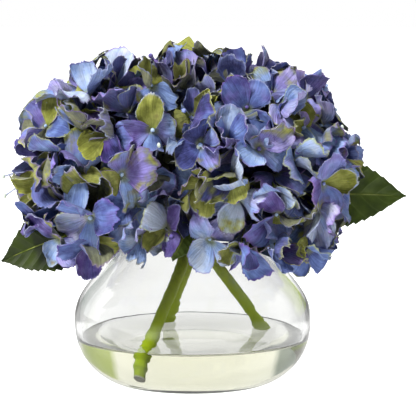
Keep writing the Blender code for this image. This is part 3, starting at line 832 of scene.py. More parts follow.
def petal_record(plan, k, petal, lean, freedom, wild_from, dies, draw):
    """One way in which a petal may stand. With more freedom it may leave the CAD petal's place further."""
    # The CAD petal lies flat for its first 7 mm and then rises. This one rises from its root, so it
    # reaches the same end at a smaller angle.
    extra = draw.uniform(LESS_CUP_TRIED * freedom, EXTRA_CUP * (1.0 + freedom))
    cup = math.radians(LESS_CUPPED * petal["cup"] + extra)
    side = math.tau * k / PETALS + draw.uniform(-TURN_SPREAD, TURN_SPREAD) * (1.0 + freedom)
    lift = LIFTS[k % 2] + draw.uniform(*LIFT_SPREAD) * freedom
    roll = ROLL_OF_WAVE * petal["wave"] + draw.uniform(-ROLL_SPREAD, ROLL_SPREAD) * freedom
    place = (
        plan["frame"]
        @ lean
        @ Matrix.Rotation(side, 4, "Z")
        @ Matrix.Translation((ROOT_OUT, 0.0, lift))
        @ Matrix.Rotation(-cup, 4, "Y")
        @ Matrix.Rotation(roll, 4, "X")
    )
    long = petal["length"] * draw.uniform(*LENGTH_SHARES)
    wild = draw.random() < WILD_SHARE
    return {
        "head": plan["head"],
        "place": place.translation,
        "turn": place.to_euler(),
        "size": (long, long * draw.uniform(*WIDTH_SHARES), long),
        "die": draw.randrange(wild_from, dies) if wild else draw.randrange(0, wild_from),
        "middle": place @ Vector((MIDDLE_AT * PETAL_LENGTH * long, 0.0, 0.0)),
    }


def petal_records(plans, draw, dies, wild_from, sheets, standing):
    """One record for each petal: place, turn, size, die and tints."""
    records = []
    for plan in plans:
        tone = draw.choices([tone for tone, _ in FAMILIES], [share for _, share in FAMILIES])[0]
        green_floret = draw.random() < GREEN_FLORETS[plan["head"]]
        lean = leaning(draw, EXTRA_LEAN)
        for k, petal in enumerate(plan["petals"]):
            fewest = None
            for i in range(TRIES):
                record = petal_record(plan, k, petal, lean, i / (TRIES - 1), wild_from, dies, draw)
                turn = np.array(record["turn"].to_matrix())
                points = (sheets[0][record["die"]] * record["size"]) @ turn.T + np.array(record["place"])
                sheet = BVHTree.FromPolygons(points.tolist(), sheets[1])
                crossings = sum(
                    len(sheet.overlap(other))
                    for middle, other in standing
                    if (middle - record["middle"]).length < NEIGHBOUR_REACH
                )
                if fewest is None or crossings < fewest:
                    fewest, best, best_sheet = crossings, record, sheet
                if crossings == 0:
                    break
            standing.append((best["middle"], best_sheet))
            best["tint"] = petal_tint(tone, green_floret, draw)
            records.append(best)
    return records


def paint_spots(records):
    """Gives each spot's colour to the petal that stands foremost there."""
    pixels = [in_photo(record["middle"]) for record in records]
    taken = set()
    for spots, (tone, green) in SPOT_TINTS:
        for x, y in spots:
            near = [
                k
                for k, pixel in enumerate(pixels)
                if k not in taken and math.hypot(pixel[0] - x, pixel[1] - y) < SPOT_REACH
            ]
            if near:
                foremost = min(near, key=lambda k: records[k]["middle"].y)
                records[foremost]["tint"][:2] = [tone, green]
                taken.add(foremost)
    print(len(taken), "petals take their colour from a spot")


# %% [markdown]
# ## Setting the petals on their seats
#
# What repeats is made with Geometry Nodes. One tree sets a shape from a library on every point of a mesh,
# turned and sized by the point's own attributes, makes the copies real, bends them all with one smooth
# noise so that no two petals stay alike, and gives them their finish. The same tree sets the small beads
# in the middles of the florets and the buds.

# %% Parts that the geometry trees share
def named_tree(title, inputs, output):
    """A geometry tree with named inputs and one output: the tree, its adding function and its inputs."""
    tree = bpy.data.node_groups.new(title, "GeometryNodeTree")
    for name, kind in inputs.items():
        tree.interface.new_socket(name, in_out="INPUT", socket_type=f"NodeSocket{kind}")
    tree.interface.new_socket(output, in_out="OUTPUT", socket_type="NodeSocketGeometry")
    return tree, partial(add_node, tree), add_node(tree, "NodeGroupInput").outputs


def moved(tree, add, geometry, size, depth, detail):
    """Moves every point by a smooth noise, so that neighbours go together."""
    place = add("GeometryNodeInputPosition")
    spread = add("ShaderNodeVectorMath", place, size, operation="DIVIDE")
    lumps = add("ShaderNodeTexNoise", Vector=spread, Scale=1.0, Detail=detail).outputs["Color"]
    centred = add("ShaderNodeVectorMath", lumps, (0.5, 0.5, 0.5), operation="SUBTRACT")
    offset = add("ShaderNodeVectorMath", centred, operation="SCALE")
    tree.links.new(depth, offset.inputs["Scale"])
    return add("GeometryNodeSetPosition", Geometry=geometry, Offset=offset)


def handed_over(tree, add, output, geometry, finish):
    """The end of each tree: its finish and its output."""
    painted = add("GeometryNodeSetMaterial", Geometry=geometry, Material=finish)
    tree.links.new(painted.outputs[0], add("NodeGroupOutput").inputs[output])
    return tree


# %% The tree that sets shapes on seats
def tree_of_seats():
    tree, add, given = named_tree(
        "shapes on seats",
        {
            "Seats": "Geometry", "Shapes": "Collection", "Bend size": "Float", "Bend depth": "Float",
            "Finish": "Material",
        },
        "Petals",
    )
    die = add("GeometryNodeInputNamedAttribute", data_type="INT", Name="die")
    turn = add("GeometryNodeInputNamedAttribute", data_type="FLOAT_VECTOR", Name="turn")
    size = add("GeometryNodeInputNamedAttribute", data_type="FLOAT_VECTOR", Name="size")
    shapes = add(
        "GeometryNodeCollectionInfo",
        Collection=given["Shapes"], Separate_Children=True, Reset_Children=True,
    )
    copies = add(
        "GeometryNodeInstanceOnPoints",
        Points=given["Seats"], Instance=shapes, Pick_Instance=True, Instance_Index=die,
        Rotation=add("FunctionNodeEulerToRotation", turn), Scale=size,
    )
    real = add("GeometryNodeRealizeInstances", copies)
    bent = moved(tree, add, real, given["Bend size"], given["Bend depth"], 1.0)
    return handed_over(tree, add, "Petals", bent, given["Finish"])


shapes_on_seats = tree_of_seats()
print(shapes_on_seats.name, "has", len(shapes_on_seats.nodes), "nodes")


def set_shapes(name, records, library, bend_size, bend_depth, finish):
    """Sets one shape for each record. A mesh of loose points carries what the tree reads."""
    mesh = new_mesh(f"{name}_seats", [r["place"] for r in records])
    for title in ("turn", "size", "tint"):
        store(mesh, title, [tuple(r[title]) for r in records], "FLOAT_VECTOR")
    store(mesh, "die", [r["die"] for r in records], "INT")
    inputs = {"Shapes": library, "Bend size": bend_size, "Bend depth": bend_depth, "Finish": finish}
    return grown(name, new_object(mesh.name, mesh), shapes_on_seats, inputs)


# %% [markdown]
# ## Dyed cloth
#
# The petals are polyester taffeta, often called silk: a fine plain weave, dyed in patches, stamped and
# heat-set. It is matt with a faint sheen, the cut edges are pale and fluffy, light comes through it a
# little, the stamping leaves fine ribs that fan out from the root, and handling leaves crumples. The weave
# is about 0.25 mm, too fine to show here, so it is drawn at 0.7 mm. There are two dyes: the tone runs
# through two ramps of swatches, from pale to deep blue and from pale to deep violet, and each petal has its
# own share of the second. Green, the yellow-green root, the rim's tint and the duller underside are mixed
# over them.

# %% Petal material
BLUE_SWATCHES = (
    (0.00, "#c3cfe2"), (0.12, "#afc1e0"), (0.28, "#96afdd"), (0.44, "#839bd2"),
    (0.60, "#6c80bc"), (0.75, "#5a67a2"), (0.88, "#4a4f8c"), (1.00, "#333764"),
)
VIOLET_SWATCHES = (
    (0.00, "#c8c3de"), (0.12, "#b8b0dc"), (0.28, "#a29ad5"), (0.44, "#8f85c8"),
    (0.60, "#7e70b2"), (0.75, "#69559a"), (0.88, "#543f84"), (1.00, "#392d5e"),
)
GREEN_SWATCHES = ((0.28, "#5a5c20"), (0.45, "#83873a"), (0.60, "#a2a553"), (0.78, "#8a7845"))
RIM_SWATCHES = (
    (0.0, "#b6c2e0"), (0.22, "#a6a3d8"), (0.34, "#6f53a6"), (0.62, "#7a55ac"),
    (0.70, "#b893c6"), (0.75, "#a9b03e"), (1.0, "#c0c250"),
)
MOTTLE_SIZE = 9.5 * MM
CLOUD_SIZE = 13.0 * MM
CRUMPLE_SIZE = 3.2 * MM
WEAVE_SIZE = 0.7 * MM
RIB_FAN = (13.0, 1.1, 9.0)


def petal_cloth():
    material, add = new_material("dyed polyester taffeta")
    spot = add("ShaderNodeTexCoord").outputs["Object"]
    place = add("ShaderNodeAttribute", attribute_name="place").outputs["Vector"]
    tint = add("ShaderNodeAttribute", attribute_name="tint").outputs["Vector"]
    rim = add("ShaderNodeAttribute", attribute_name="rim").outputs["Fac"]
    deep = add("ShaderNodeAttribute", attribute_name="deep").outputs["Fac"]
    across, along, under = add("ShaderNodeSeparateXYZ", place).outputs
    paleness, greenness, own = add("ShaderNodeSeparateXYZ", tint).outputs
    mottle, clouds, weave, crumples = (
        add("ShaderNodeTexNoise", Vector=spot, Scale=1.0 / size, Detail=detail)
        for size, detail in ((MOTTLE_SIZE, 3.0), (CLOUD_SIZE, 2.0), (WEAVE_SIZE, 1.0), (CRUMPLE_SIZE, 2.0))
    )

    # Tone, moved up and down by the mottling of the dye
    uneven = add("ShaderNodeMath", mottle, 1.1, -0.55, operation="MULTIPLY_ADD")
    tone = add("ShaderNodeMath", uneven, paleness, operation="ADD", use_clamp=True)

    # Pale or dark, a petal may be bluer or more violet: its own share, and clouds of the second dye
    seven = add("ShaderNodeMath", own, 7.0, operation="MULTIPLY")
    redder = add("ShaderNodeMath", clouds, 1.6, -0.8, operation="MULTIPLY_ADD")
    second = add("ShaderNodeMath", add("ShaderNodeMath", seven, operation="FRACT"), redder)

    # Green: all over where the number is high, in patches towards the tip where it is low
    tipward = add("ShaderNodeMath", along, 0.5, -0.55, operation="MULTIPLY_ADD")
    patches = add("ShaderNodeMath", uneven, 0.9, tipward, operation="MULTIPLY_ADD")
    greener = add("ShaderNodeMath", greenness, 1.35, patches, operation="MULTIPLY_ADD")

    # The root is yellow-green, on some petals much further up than on others. The rim is a soft band of its
    # own tint, then a pale line on the cut, patchy as if worn: partly the cut's pale fluff, partly a painted
    # highlight.
    root_reach = add("ShaderNodeMath", mottle, 0.42, 0.02, operation="MULTIPLY_ADD")
    wavering = add("ShaderNodeMath", uneven, 0.5, rim, operation="MULTIPLY_ADD")
    fluff_and_edge_highlight = add("ShaderNodeMapRange", mottle, 0.46, 0.62, 0.0, 0.75)

    # Ribs: noise drawn out along the petal, on its own fan of lines
    fan = add("ShaderNodeCombineXYZ", across, along, own)
    fan = add("ShaderNodeVectorMath", fan, RIB_FAN, operation="MULTIPLY")
    ribs = add("ShaderNodeTexNoise", Vector=fan, Scale=1.0, Detail=2.0)

    # Each layer covers a share of those before it. The underside took less dye and looks dusty, and painted
    # shade darkens the cloth towards the core of its head and in the grooves between heads.
    colour = add("ShaderNodeValToRGB", tone, ramp=BLUE_SWATCHES)
    for share, over, blend in (
        (add("ShaderNodeMapRange", second, 0.40, 0.92), (tone, VIOLET_SWATCHES), "MIX"),
        (add("ShaderNodeMapRange", greener, 0.30, 0.62, **SMOOTH), (mottle, GREEN_SWATCHES), "MIX"),
        (add("ShaderNodeMapRange", along, root_reach, 0.04, 0.0, 0.65, **SMOOTH), "#a7b04a", "MIX"),
        (add("ShaderNodeMapRange", wavering, 0.58, 1.05, 0.0, 0.78, **SMOOTH), (own, RIM_SWATCHES), "MIX"),
        # The pale cut edge: partly its real fluff, partly a painted highlight
        (add("ShaderNodeMapRange", rim, 0.97, 1.0, 0.0, fluff_and_edge_highlight), "#dfe3f2", "MIX"),
        (add("ShaderNodeMath", under, 0.35, operation="MULTIPLY"), "#696796", "MIX"),
        # Painted shade and highlight on the ribs: darker in their hollows, lighter on their crests
        (1.0, add("ShaderNodeMapRange", ribs, 0.3, 0.7, 0.76, 1.18), "MULTIPLY"),
        # Painted shade: near-black indigo towards the core of the head and in the grooves
        (add("ShaderNodeMath", deep, 0.72, operation="MULTIPLY"), "#1f1d38", "MIX"),
    ):
        if isinstance(over, tuple):
            over = add("ShaderNodeValToRGB", over[0], ramp=over[1])
        colour = add("ShaderNodeMix", data_type="RGBA", blend_type=blend, Factor=share, A=colour, B=over)

    bump = add("ShaderNodeBump", Height=weave, Strength=0.25, Distance=0.15 * MM)
    bump = add("ShaderNodeBump", Height=ribs, Strength=0.8, Distance=0.9 * MM, Normal=bump)
    bump = add("ShaderNodeBump", Height=crumples, Strength=0.7, Distance=1.2 * MM, Normal=bump)
    cloth = add(
        "ShaderNodeBsdfPrincipled",
        Base_Color=colour, Roughness=0.78, Specular_IOR_Level=0.25, Sheen_Weight=0.08, Sheen_Roughness=0.5,
        Normal=bump,
    )
    through = add("ShaderNodeBsdfTranslucent", Color=colour, Normal=bump)
    add("ShaderNodeOutputMaterial", Surface=add("ShaderNodeMixShader", 0.14, cloth, through))
    return material


petal_finish = petal_cloth()
print(petal_finish.name, "has", len(petal_finish.node_tree.nodes), "nodes")

# %% [markdown]
# ## Keeping petals in their place
#
# Low petals hang over the vase's shoulder. The vase's outline is worked out here, because the petals need
# it first. Each point of a petal that would enter the glass is moved sideways, softly, until it lies
# outside. Neighbouring heads press together: petals may cross the plane between them by a few millimetres,
# as real ones interleave, and further ones are bent back, so no straight seam shows. Beside that plane the
# petals sink into a shallow groove, which is painted darker with painted shade. Then the tops and the
# outer sides of the heads are drawn back under the lines that they reach in the photograph.

# %% The vase's outline
BELLY_RADIUS = 75.3 * MM
BELLY_HEIGHT = 40.0 * MM
FOOT_RADIUS = 50.0 * MM
NECK_RADIUS = 47.5 * MM
NECK_HEIGHT = 93.0 * MM
LIP_RADIUS = 49.5 * MM
VASE_HEIGHT = 100.0 * MM
WALL = 3.0 * MM
BASE_THICKNESS = 6.0 * MM
UNDERSIDE_SWEEP = 2.6
UNDERSIDE_FULLNESS = 1.24
SHOULDER_EASE = 1.1
WATER_LEVEL = 28.5 * MM


def vase_outer_radius(height):
    """The outside of the glass: a full underside sweeps up to the belly, then a shoulder into the neck."""
    if height <= BELLY_HEIGHT:
        drop = (1.0 - height / BELLY_HEIGHT) ** UNDERSIDE_SWEEP
        return FOOT_RADIUS + (BELLY_RADIUS - FOOT_RADIUS) * (1.0 - drop) ** (1.0 / UNDERSIDE_FULLNESS)
    if height <= NECK_HEIGHT:
        rise = ((height - BELLY_HEIGHT) / (NECK_HEIGHT - BELLY_HEIGHT)) ** SHOULDER_EASE
        return NECK_RADIUS + (BELLY_RADIUS - NECK_RADIUS) * math.cos(rise * math.pi / 2.0) ** 2
    flare = (height - NECK_HEIGHT) / (VASE_HEIGHT - NECK_HEIGHT)
    return NECK_RADIUS + (LIP_RADIUS - NECK_RADIUS) * flare**2


def vase_inner_radius(height):
    """The inside follows the outside at one wall, and rounds off over the thick bottom."""
    lift = held((height - BASE_THICKNESS) / (BELLY_HEIGHT - BASE_THICKNESS))
    rounding = (1.0 - (1.0 - lift) ** UNDERSIDE_SWEEP) ** (1.0 / UNDERSIDE_FULLNESS)
    inner_foot = FOOT_RADIUS - WALL
    if height < BELLY_HEIGHT:
        return inner_foot + (BELLY_RADIUS - WALL - inner_foot) * rounding
    return vase_outer_radius(height) - WALL


OUTLINE_HEIGHTS = np.linspace(0.0, VASE_HEIGHT, 201)
OUTLINE_RADII = np.array([vase_outer_radius(height) for height in OUTLINE_HEIGHTS])
print("the vase is", round(2.0 * OUTLINE_RADII.max() / MM, 1), "mm across")

# %% Soft pushes
CLEAR_OF_GLASS = 1.5 * MM
GLASS_SOFTNESS = 2.5 * MM
LIP_REACH = 12.0 * MM
CROSSING = 7.0 * MM
CROSSING_SOFTNESS = 5.0 * MM
# Points this many softnesses clear of a push are left where they are
UNTOUCHED = 6.0


def soft_step(depth):
    """Grows like a straight line above zero, and fades out softly below."""
    return np.logaddexp(0.0, np.clip(depth, -30.0, 30.0))


def pushed_off(points, name):
    """Moves points out of the glass, and back over the heads' partings."""
    points = points.copy()
    for middle, inward in partings(name):
        depth = ((points - np.array(middle)) @ np.array(inward) + CROSSING) / CROSSING_SOFTNESS
        push = (soft_step(depth) - depth) * CROSSING_SOFTNESS * (depth < UNTOUCHED)
        points += np.outer(push, np.array(inward))
    radius = np.hypot(points[:, 0], points[:, 1])
    over_lip = (points[:, 2] - VASE_HEIGHT) / LIP_REACH
    wall = np.interp(points[:, 2], OUTLINE_HEIGHTS, OUTLINE_RADII)
    wall = np.where(over_lip > 0.0, LIP_RADIUS * np.sqrt(np.clip(1.0 - over_lip**2, 0.0, 1.0)), wall)
    depth = (radius - wall - CLEAR_OF_GLASS) / GLASS_SOFTNESS
    eased = soft_step(depth) * GLASS_SOFTNESS + wall + CLEAR_OF_GLASS
    touched = (over_lip < 1.0) & (radius > 0.5 * INSIDE_RADIUS) & (depth < UNTOUCHED)
    share = np.where(touched, eased / np.maximum(radius, 1e-6), 1.0)
    points[:, :2] *= share[:, None]
    return points


def reshape(mesh, change):
    """Applies a function to all the points of a mesh at once."""
    mesh.vertices.foreach_set("co", change(points_of(mesh)).ravel())
    mesh.update()


# %% The line that the tops of the heads reach, seen from the front, as x and z in mm
CROWN = (
    (-122, 118), (-116, 134), (-113, 162), (-106, 173), (-99, 178), (-90, 183), (-88, 188), (-78, 194),
    (-71, 207), (-52, 210), (-40, 208), (-27, 201), (-20, 208), (-14, 216), (-8, 214), (-2, 220), (5, 214),
    (11, 209), (18, 211), (30, 209), (37, 214), (43, 212), (49, 204), (62, 199), (75, 192), (81, 195),
    (87, 189), (90, 168), (98, 159), (106, 152), (110, 147), (112, 137), (120, 130),
)
# The lines that the outer sides of the heads reach over their leaves, as z and how far out, in mm
OUTER_SIDES = {
    -1: ((70, 88), (83, 95), (91, 103), (101, 103), (112, 108), (132, 115), (140, 130)),
    1: ((66, 78), (84, 88), (94, 93), (104, 97), (120, 95), (127, 104), (138, 110), (148, 130)),
}
# A point that lies farther back shows higher, by this much of its distance
LOOKING_DOWN = 0.127
CROWN_UNEVEN = 3.0 * MM
UNEVEN_ACROSS, UNEVEN_DEEP = 4.0 * MM, 6.0 * MM
CROWN_STEPS = 30
CROWN_EASE = 0.5


def under_crown(points, name):
    """Draws petals that stand over the crown line, or past a side line, back to their head's middle."""
    centre = np.array(head_centre(name))
    line_x, line_z = np.array(CROWN).T * MM
    offset = points - centre
    reach = np.linalg.norm(offset, axis=1)
    wavering = CROWN_UNEVEN * np.sin(points[:, 0] / UNEVEN_ACROSS) * np.sin(points[:, 1] / UNEVEN_DEEP)
    share = np.ones(len(points))
    for _ in range(CROWN_STEPS):
        trial = centre + offset * share[:, None]
        height = trial[:, 2] + LOOKING_DOWN * trial[:, 1]
        over = height - np.interp(trial[:, 0], line_x, line_z)
        for side, line in OUTER_SIDES.items():
            over = np.maximum(over, side * trial[:, 0] - np.interp(height, *np.array(line).T * MM))
        share *= 1.0 - CROWN_EASE * np.clip(over - wavering, 0.0, None) / reach
    return centre + offset * share[:, None]


# %% The petals of each head
BEND_SIZE = 17.0 * MM
BEND_DEPTH = 5.0 * MM
# Painted shade: full within DARK_WITHIN of a head's centre, gone by LIGHT_BEYOND, GROOVE_SHADE in a groove
DARK_WITHIN = 40.0 * MM
LIGHT_BEYOND = 59.0 * MM
GROOVE_WIDTH = 12.0 * MM
GROOVE_DEPTH = 7.0 * MM
GROOVE_SHADE = 0.55


def all_petals():
    """Records of the open, the filling and the inner petals, each layer with its library of dies."""
    draw = random.Random(500)
    sheets = middle_sheets(petal_dies, *PETAL_GRID)
    inner_sheets = middle_sheets(inner_dies, *INNER_GRID)
    standing = []
    opened = petal_records(open_florets, draw, PETAL_DIES, WILD_FROM, sheets, standing)
    filling = petal_records(filling_florets, draw, PETAL_DIES, WILD_FROM, sheets, standing)
    inner = petal_records(inner_florets, draw, INNER_DIES, INNER_WILD_FROM, inner_sheets, [])
    paint_spots(opened + filling)
    return {"open": (opened, petal_dies), "filling": (filling, petal_dies), "inner": (inner, inner_dies)}


def pressed(points, name):
    """How near each point lies to a neighbouring head: 1 on the parting plane, 0 far from it."""
    share = np.zeros(len(points))
    for middle, inward in partings(name):
        depth = (points - np.array(middle)) @ np.array(inward)
        share = np.maximum(share, np.exp(-((np.maximum(depth, 0.0) / GROOVE_WIDTH) ** 2)))
    return share


def sunk(points, name):
    """Lets the petals sink into a groove where two heads press together."""
    offset = points - np.array(head_centre(name))
    reach = np.linalg.norm(offset, axis=1)
    sinking = GROOVE_DEPTH * pressed(points, name) * np.clip(reach / LIGHT_BEYOND, 0.0, 1.0)
    return points - offset * (sinking / reach)[:, None]


def add_painted_shade(mesh, name):
    """Stores painted shade for each point: 1 near its head's core, up to GROOVE_SHADE in a groove, 0
    outside.
    """
    points = points_of(mesh)
    reach = np.linalg.norm(points - np.array(head_centre(name)), axis=1)
    deep = np.clip((LIGHT_BEYOND - reach) / (LIGHT_BEYOND - DARK_WITHIN), 0.0, 1.0)
    store(mesh, "deep", np.maximum(deep, GROOVE_SHADE * pressed(points, name)))


for layer, (records, library) in all_petals().items():
    for head in HEADS:
        own = [record for record in records if record["head"] == head]
        piece = set_shapes(f"{layer}_petals_{head}", own, library, BEND_SIZE, BEND_DEPTH, petal_finish)
        reshape(piece.data, lambda points: under_crown(pushed_off(sunk(points, head), head), head))
        add_painted_shade(piece.data, head)
        finish_piece(piece, "petal_fabric", f"bloom_{head}")

# %% [markdown]
# ## The heart of a head
#
# In the middle of each head all the stalks run together. It is never seen clearly, only as darkness between
# petals. A bumpy ball, smaller than the seats, stands for it: a sphere whose points are moved by noise. Its
# near-black colour is painted shade.

# %% Hearts
HEART_RADIUS = 29.0 * MM
HEART_BUMPS = 4.0 * MM
HEART_BUMP_SIZE = 12.0 * MM
HEART_GRID = (40, 64)
# Painted shade: near-black indigo and olive, standing for the darkness inside a head
HEART_SWATCHES = ((0.35, "#15142a"), (0.55, "#24233f"), (0.70, "#37401f"))
# A stalk and the gap beside it take about 5.5 mm
STALKS_PER_METRE = 180.0
BETWEEN_STALKS = 2.0 * MM


def ball(rings, sides):
    """A round skin of unit radius with closed poles: its points and its faces."""
    points = [(0.0, 0.0, 1.0)]
    for j in range(1, rings):
        fall = math.pi * j / rings
        for k in range(sides):
            turn = math.tau * k / sides
            points.append((math.sin(fall) * math.cos(turn), math.sin(fall) * math.sin(turn), math.cos(fall)))
    points.append((0.0, 0.0, -1.0))
    last = len(points) - 1
    faces = []
    for k in range(sides):
        n = (k + 1) % sides
        faces.append((0, 1 + k, 1 + n))
        faces.append((last, last - sides + n, last - sides + k))
        for j in range(rings - 2):
            above, below = 1 + j * sides, 1 + (j + 1) * sides
            faces.append((above + k, below + k, below + n, above + n))
    return np.array(points), faces


def heart_of(name, material):
    points, faces = ball(*HEART_GRID)
    spread = HEART_RADIUS / HEART_BUMP_SIZE
    bumps = np.array([noise.noise(Vector(p) * spread + head_centre(name) * 100.0) for p in points])
    points = points * (HEART_RADIUS + HEART_BUMPS * bumps)[:, None] + np.array(head_centre(name))
    mesh = new_mesh(f"heart_{name}", points, faces, finish=material)
    return finish_piece(new_object(mesh.name, mesh), "petal_fabric", f"bloom_{name}")


heart_finish = speckled(
    "shaded stalks", STALKS_PER_METRE, 4.0, HEART_SWATCHES, 0.9, BETWEEN_STALKS
)
for head in HEADS:
    heart_of(head, heart_finish)

# %% [markdown]
# ## Rods: stems, stalks and leaf stalks
#
# Stems are moulded polythene over wire, with knuckles and scars. Floret stalks are thin wire wrapped in
# green paper, matt and mottled. All are a round section that follows a line, so one Geometry Nodes tree
# makes them: the line's points carry how thick the rod is there, and the tree sweeps a circle along it,
# closes the ends and roughens the skin.

# %% The tree that sweeps a rod
def tree_of_rods():
    tree, add, given = named_tree(
        "rods along lines",
        {
            "Lines": "Geometry", "Sides": "Int", "Radius": "Float", "Bump size": "Float",
            "Bump depth": "Float", "Finish": "Material",
        },
        "Rods",
    )
    lines = add("GeometryNodeMeshToCurve", given["Lines"])
    section = add("GeometryNodeCurvePrimitiveCircle", Resolution=given["Sides"], Radius=given["Radius"])
    swell = add("GeometryNodeInputNamedAttribute", data_type="FLOAT", Name="swell")
    swept = add(
        "GeometryNodeCurveToMesh", Curve=lines, Profile_Curve=section, Scale=swell, Fill_Caps=True
    )
    rough = moved(tree, add, swept, given["Bump size"], given["Bump depth"], 2.0)
    real = add("GeometryNodeRealizeInstances", add("GeometryNodeSetShadeSmooth", rough))
    return handed_over(tree, add, "Rods", real, given["Finish"])


rods_along_lines = tree_of_rods()
SKIN_BUMP_SIZE = 4.0 * MM
SKIN_BUMP_DEPTH = 0.2 * MM


def rods(name, lines, sides, radius, finish, bump_depth=SKIN_BUMP_DEPTH):
    """Rods along loose lines, which are lists of (point, swell). Points know how far along they lie."""
    points, edges, swells, shares = [], [], [], []
    for line in lines:
        for k, (point, swell) in enumerate(line):
            if k:
                edges.append((len(points) - 1, len(points)))
            points.append(tuple(point))
            swells.append(swell)
            shares.append(k / (len(line) - 1))
    mesh = new_mesh(f"{name}_lines", points, edges=edges)
    store(mesh, "swell", swells)
    store(mesh, "along", shares)
    inputs = {
        "Sides": sides, "Radius": radius, "Bump size": SKIN_BUMP_SIZE, "Bump depth": bump_depth,
        "Finish": finish,
    }
    return grown(name, new_object(mesh.name, mesh), rods_along_lines, inputs)


# %% Green stalks under the florets
STALK_RADIUS = 0.65 * MM
STALK_SIDES = 6
STALK_POINTS = 7
STALK_STRAIGHT = 9.0 * MM
STALK_STOPS_UNDER = 0.2 * MM
STALK_FLARE = 0.9
PAPER_RAMP = (0.35, 0.55, 0.72)
# The dye of the paper changes every 8 mm or so
PAPER_PATCHES_PER_METRE = 120.0


def stalk_material(name, swatches):
    return speckled(name, PAPER_PATCHES_PER_METRE, 3.0, tuple(zip(PAPER_RAMP, swatches)), 0.65)


def stalk_line(plan):
    """From inside the head, near its core, to just under the floret, arriving square to it."""
    under = plan["frame"] @ Vector((0.0, 0.0, -STALK_STOPS_UNDER))
    before = plan["frame"] @ Vector((0.0, 0.0, -STALK_STRAIGHT))
    line = []
    for k in range(STALK_POINTS):
        t = k / (STALK_POINTS - 1)
        point = plan["root"].lerp(before, t).lerp(before.lerp(under, t), t)
        line.append((point, 1.0 + STALK_FLARE * t**8))
    return line


stalk_finish = stalk_material("paper-wrapped wire", ("#525d1a", "#7f8935", "#a3a762"))
bud_stalk_finish = stalk_material("bleached paper wire", ("#8f94b4", "#b4bad2", "#d3d7e6"))
for head in HEADS:
    lines = [stalk_line(plan) for plan in open_florets + filling_florets if plan["head"] == head]
    stalks = rods(f"stalks_{head}", lines, STALK_SIDES, STALK_RADIUS, stalk_finish)
    finish_piece(stalks, "petal_fabric", f"bloom_{head}")

# %% [markdown]
# ## Beads and buds
#
# In the middle of each open floret sits a small glossy bead of moulded polystyrene, pale blue or violet. A
# few unopened buds on stalks of pale paper stand out between the florets; two of them show at the left
# edge. The beads are one low ball set by the same tree that set the petals.

# %% Bead material and shape
BEAD_RADIUS = 1.45 * MM
BEAD_GRID = (6, 8)
BEAD_LIFT = 1.3 * MM
BEAD_SIZES, BEAD_HEIGHTS = (0.8, 1.15), (0.8, 1.1)
BEAD_TONES = (0.25, 0.35, 0.55, 0.9)
BEAD_BEND_SIZE, BEAD_BEND_DEPTH = 5.0 * MM, 0.3 * MM
BUD_SIZE, BUD_TONE = (0.8, 0.8, 1.1), 0.05
# Specks of 1.4 mm, half a bead wide
BEAD_SPECKS_PER_METRE = 700.0
BEAD_SWATCHES = ((0.0, "#dbe2c8"), (0.3, "#a9c4e6"), (0.6, "#8f9bd6"), (1.0, "#5c3f8c"))


def bead_material():
    material, add = new_material("glossy polystyrene")
    tint = add("ShaderNodeAttribute", attribute_name="tint").outputs["Vector"]
    spot = add("ShaderNodeTexCoord").outputs["Object"]
    specks = add("ShaderNodeTexNoise", Vector=spot, Scale=BEAD_SPECKS_PER_METRE, Detail=2.0)
    uneven = add("ShaderNodeMath", specks, 0.3, -0.15, operation="MULTIPLY_ADD")
    tone = add(
        "ShaderNodeMath", uneven, add("ShaderNodeSeparateXYZ", tint), operation="ADD", use_clamp=True
    )
    colour = add("ShaderNodeValToRGB", tone, ramp=BEAD_SWATCHES)
    skin = add("ShaderNodeBsdfPrincipled", Base_Color=colour, Roughness=0.28, IOR=1.59, Coat_Weight=0.2)
    add("ShaderNodeOutputMaterial", Surface=skin)
    return material


bead_points, bead_faces = ball(*BEAD_GRID)
bead_library = shape_library("beads", [new_mesh("bead_shape", bead_points * BEAD_RADIUS, bead_faces)])
bead_finish = bead_material()
print("one bead has", len(bead_faces), "faces")

# %% Buds on their stalks
BUD_STALK_SAG = 1.5 * MM
BUD_STALK_SWELL = 0.85
BUDS = (
    # head, where the stalk starts and where its bud is, in mm
    ("left", (-98, -18, 134), (-118, -24, 133)),
    ("left", (-98, -18, 130), (-117, -26, 121)),
    ("left", (-22, -62, 150), (-20, -68, 157)),
    ("middle", (2, -14, 160), (4, -22, 168)),
    ("right", (8, -58, 150), (4, -67, 156)),
    ("right", (84, -40, 160), (92, -48, 166)),
    ("middle", (-8, 72, 186), (-12, 84, 192)),
)


def bud_line(start, end):
    low, high = millimetres(start), millimetres(end)
    sag = Vector((0.0, 0.0, BUD_STALK_SAG))
    ways = (0.0, 0.25, 0.5, 0.75, 1.0)
    return [(low.lerp(high, t) + sag * math.sin(math.pi * t), BUD_STALK_SWELL) for t in ways]


def beads_of(name):
    """A bead in each open floret, and one on the end of each bud's stalk."""
    draw = random.Random(HEADS[name]["seed"])
    records = []
    for plan in open_florets:
        if plan["head"] == name:
            size = draw.uniform(*BEAD_SIZES)
            records.append(
                {
                    "place": plan["frame"] @ Vector((0.0, 0.0, BEAD_LIFT)),
                    "turn": plan["frame"].to_euler(),
                    "size": (size, size, size * draw.uniform(*BEAD_HEIGHTS)),
                    "die": 0,
                    "tint": (draw.choice(BEAD_TONES), 0.0, 0.0),
                }
            )
    bud = {"turn": (0.0, 0.0, 0.0), "size": BUD_SIZE, "die": 0, "tint": (BUD_TONE, 0.0, 0.0)}
    return records + [{"place": millimetres(end), **bud} for head, _, end in BUDS if head == name]


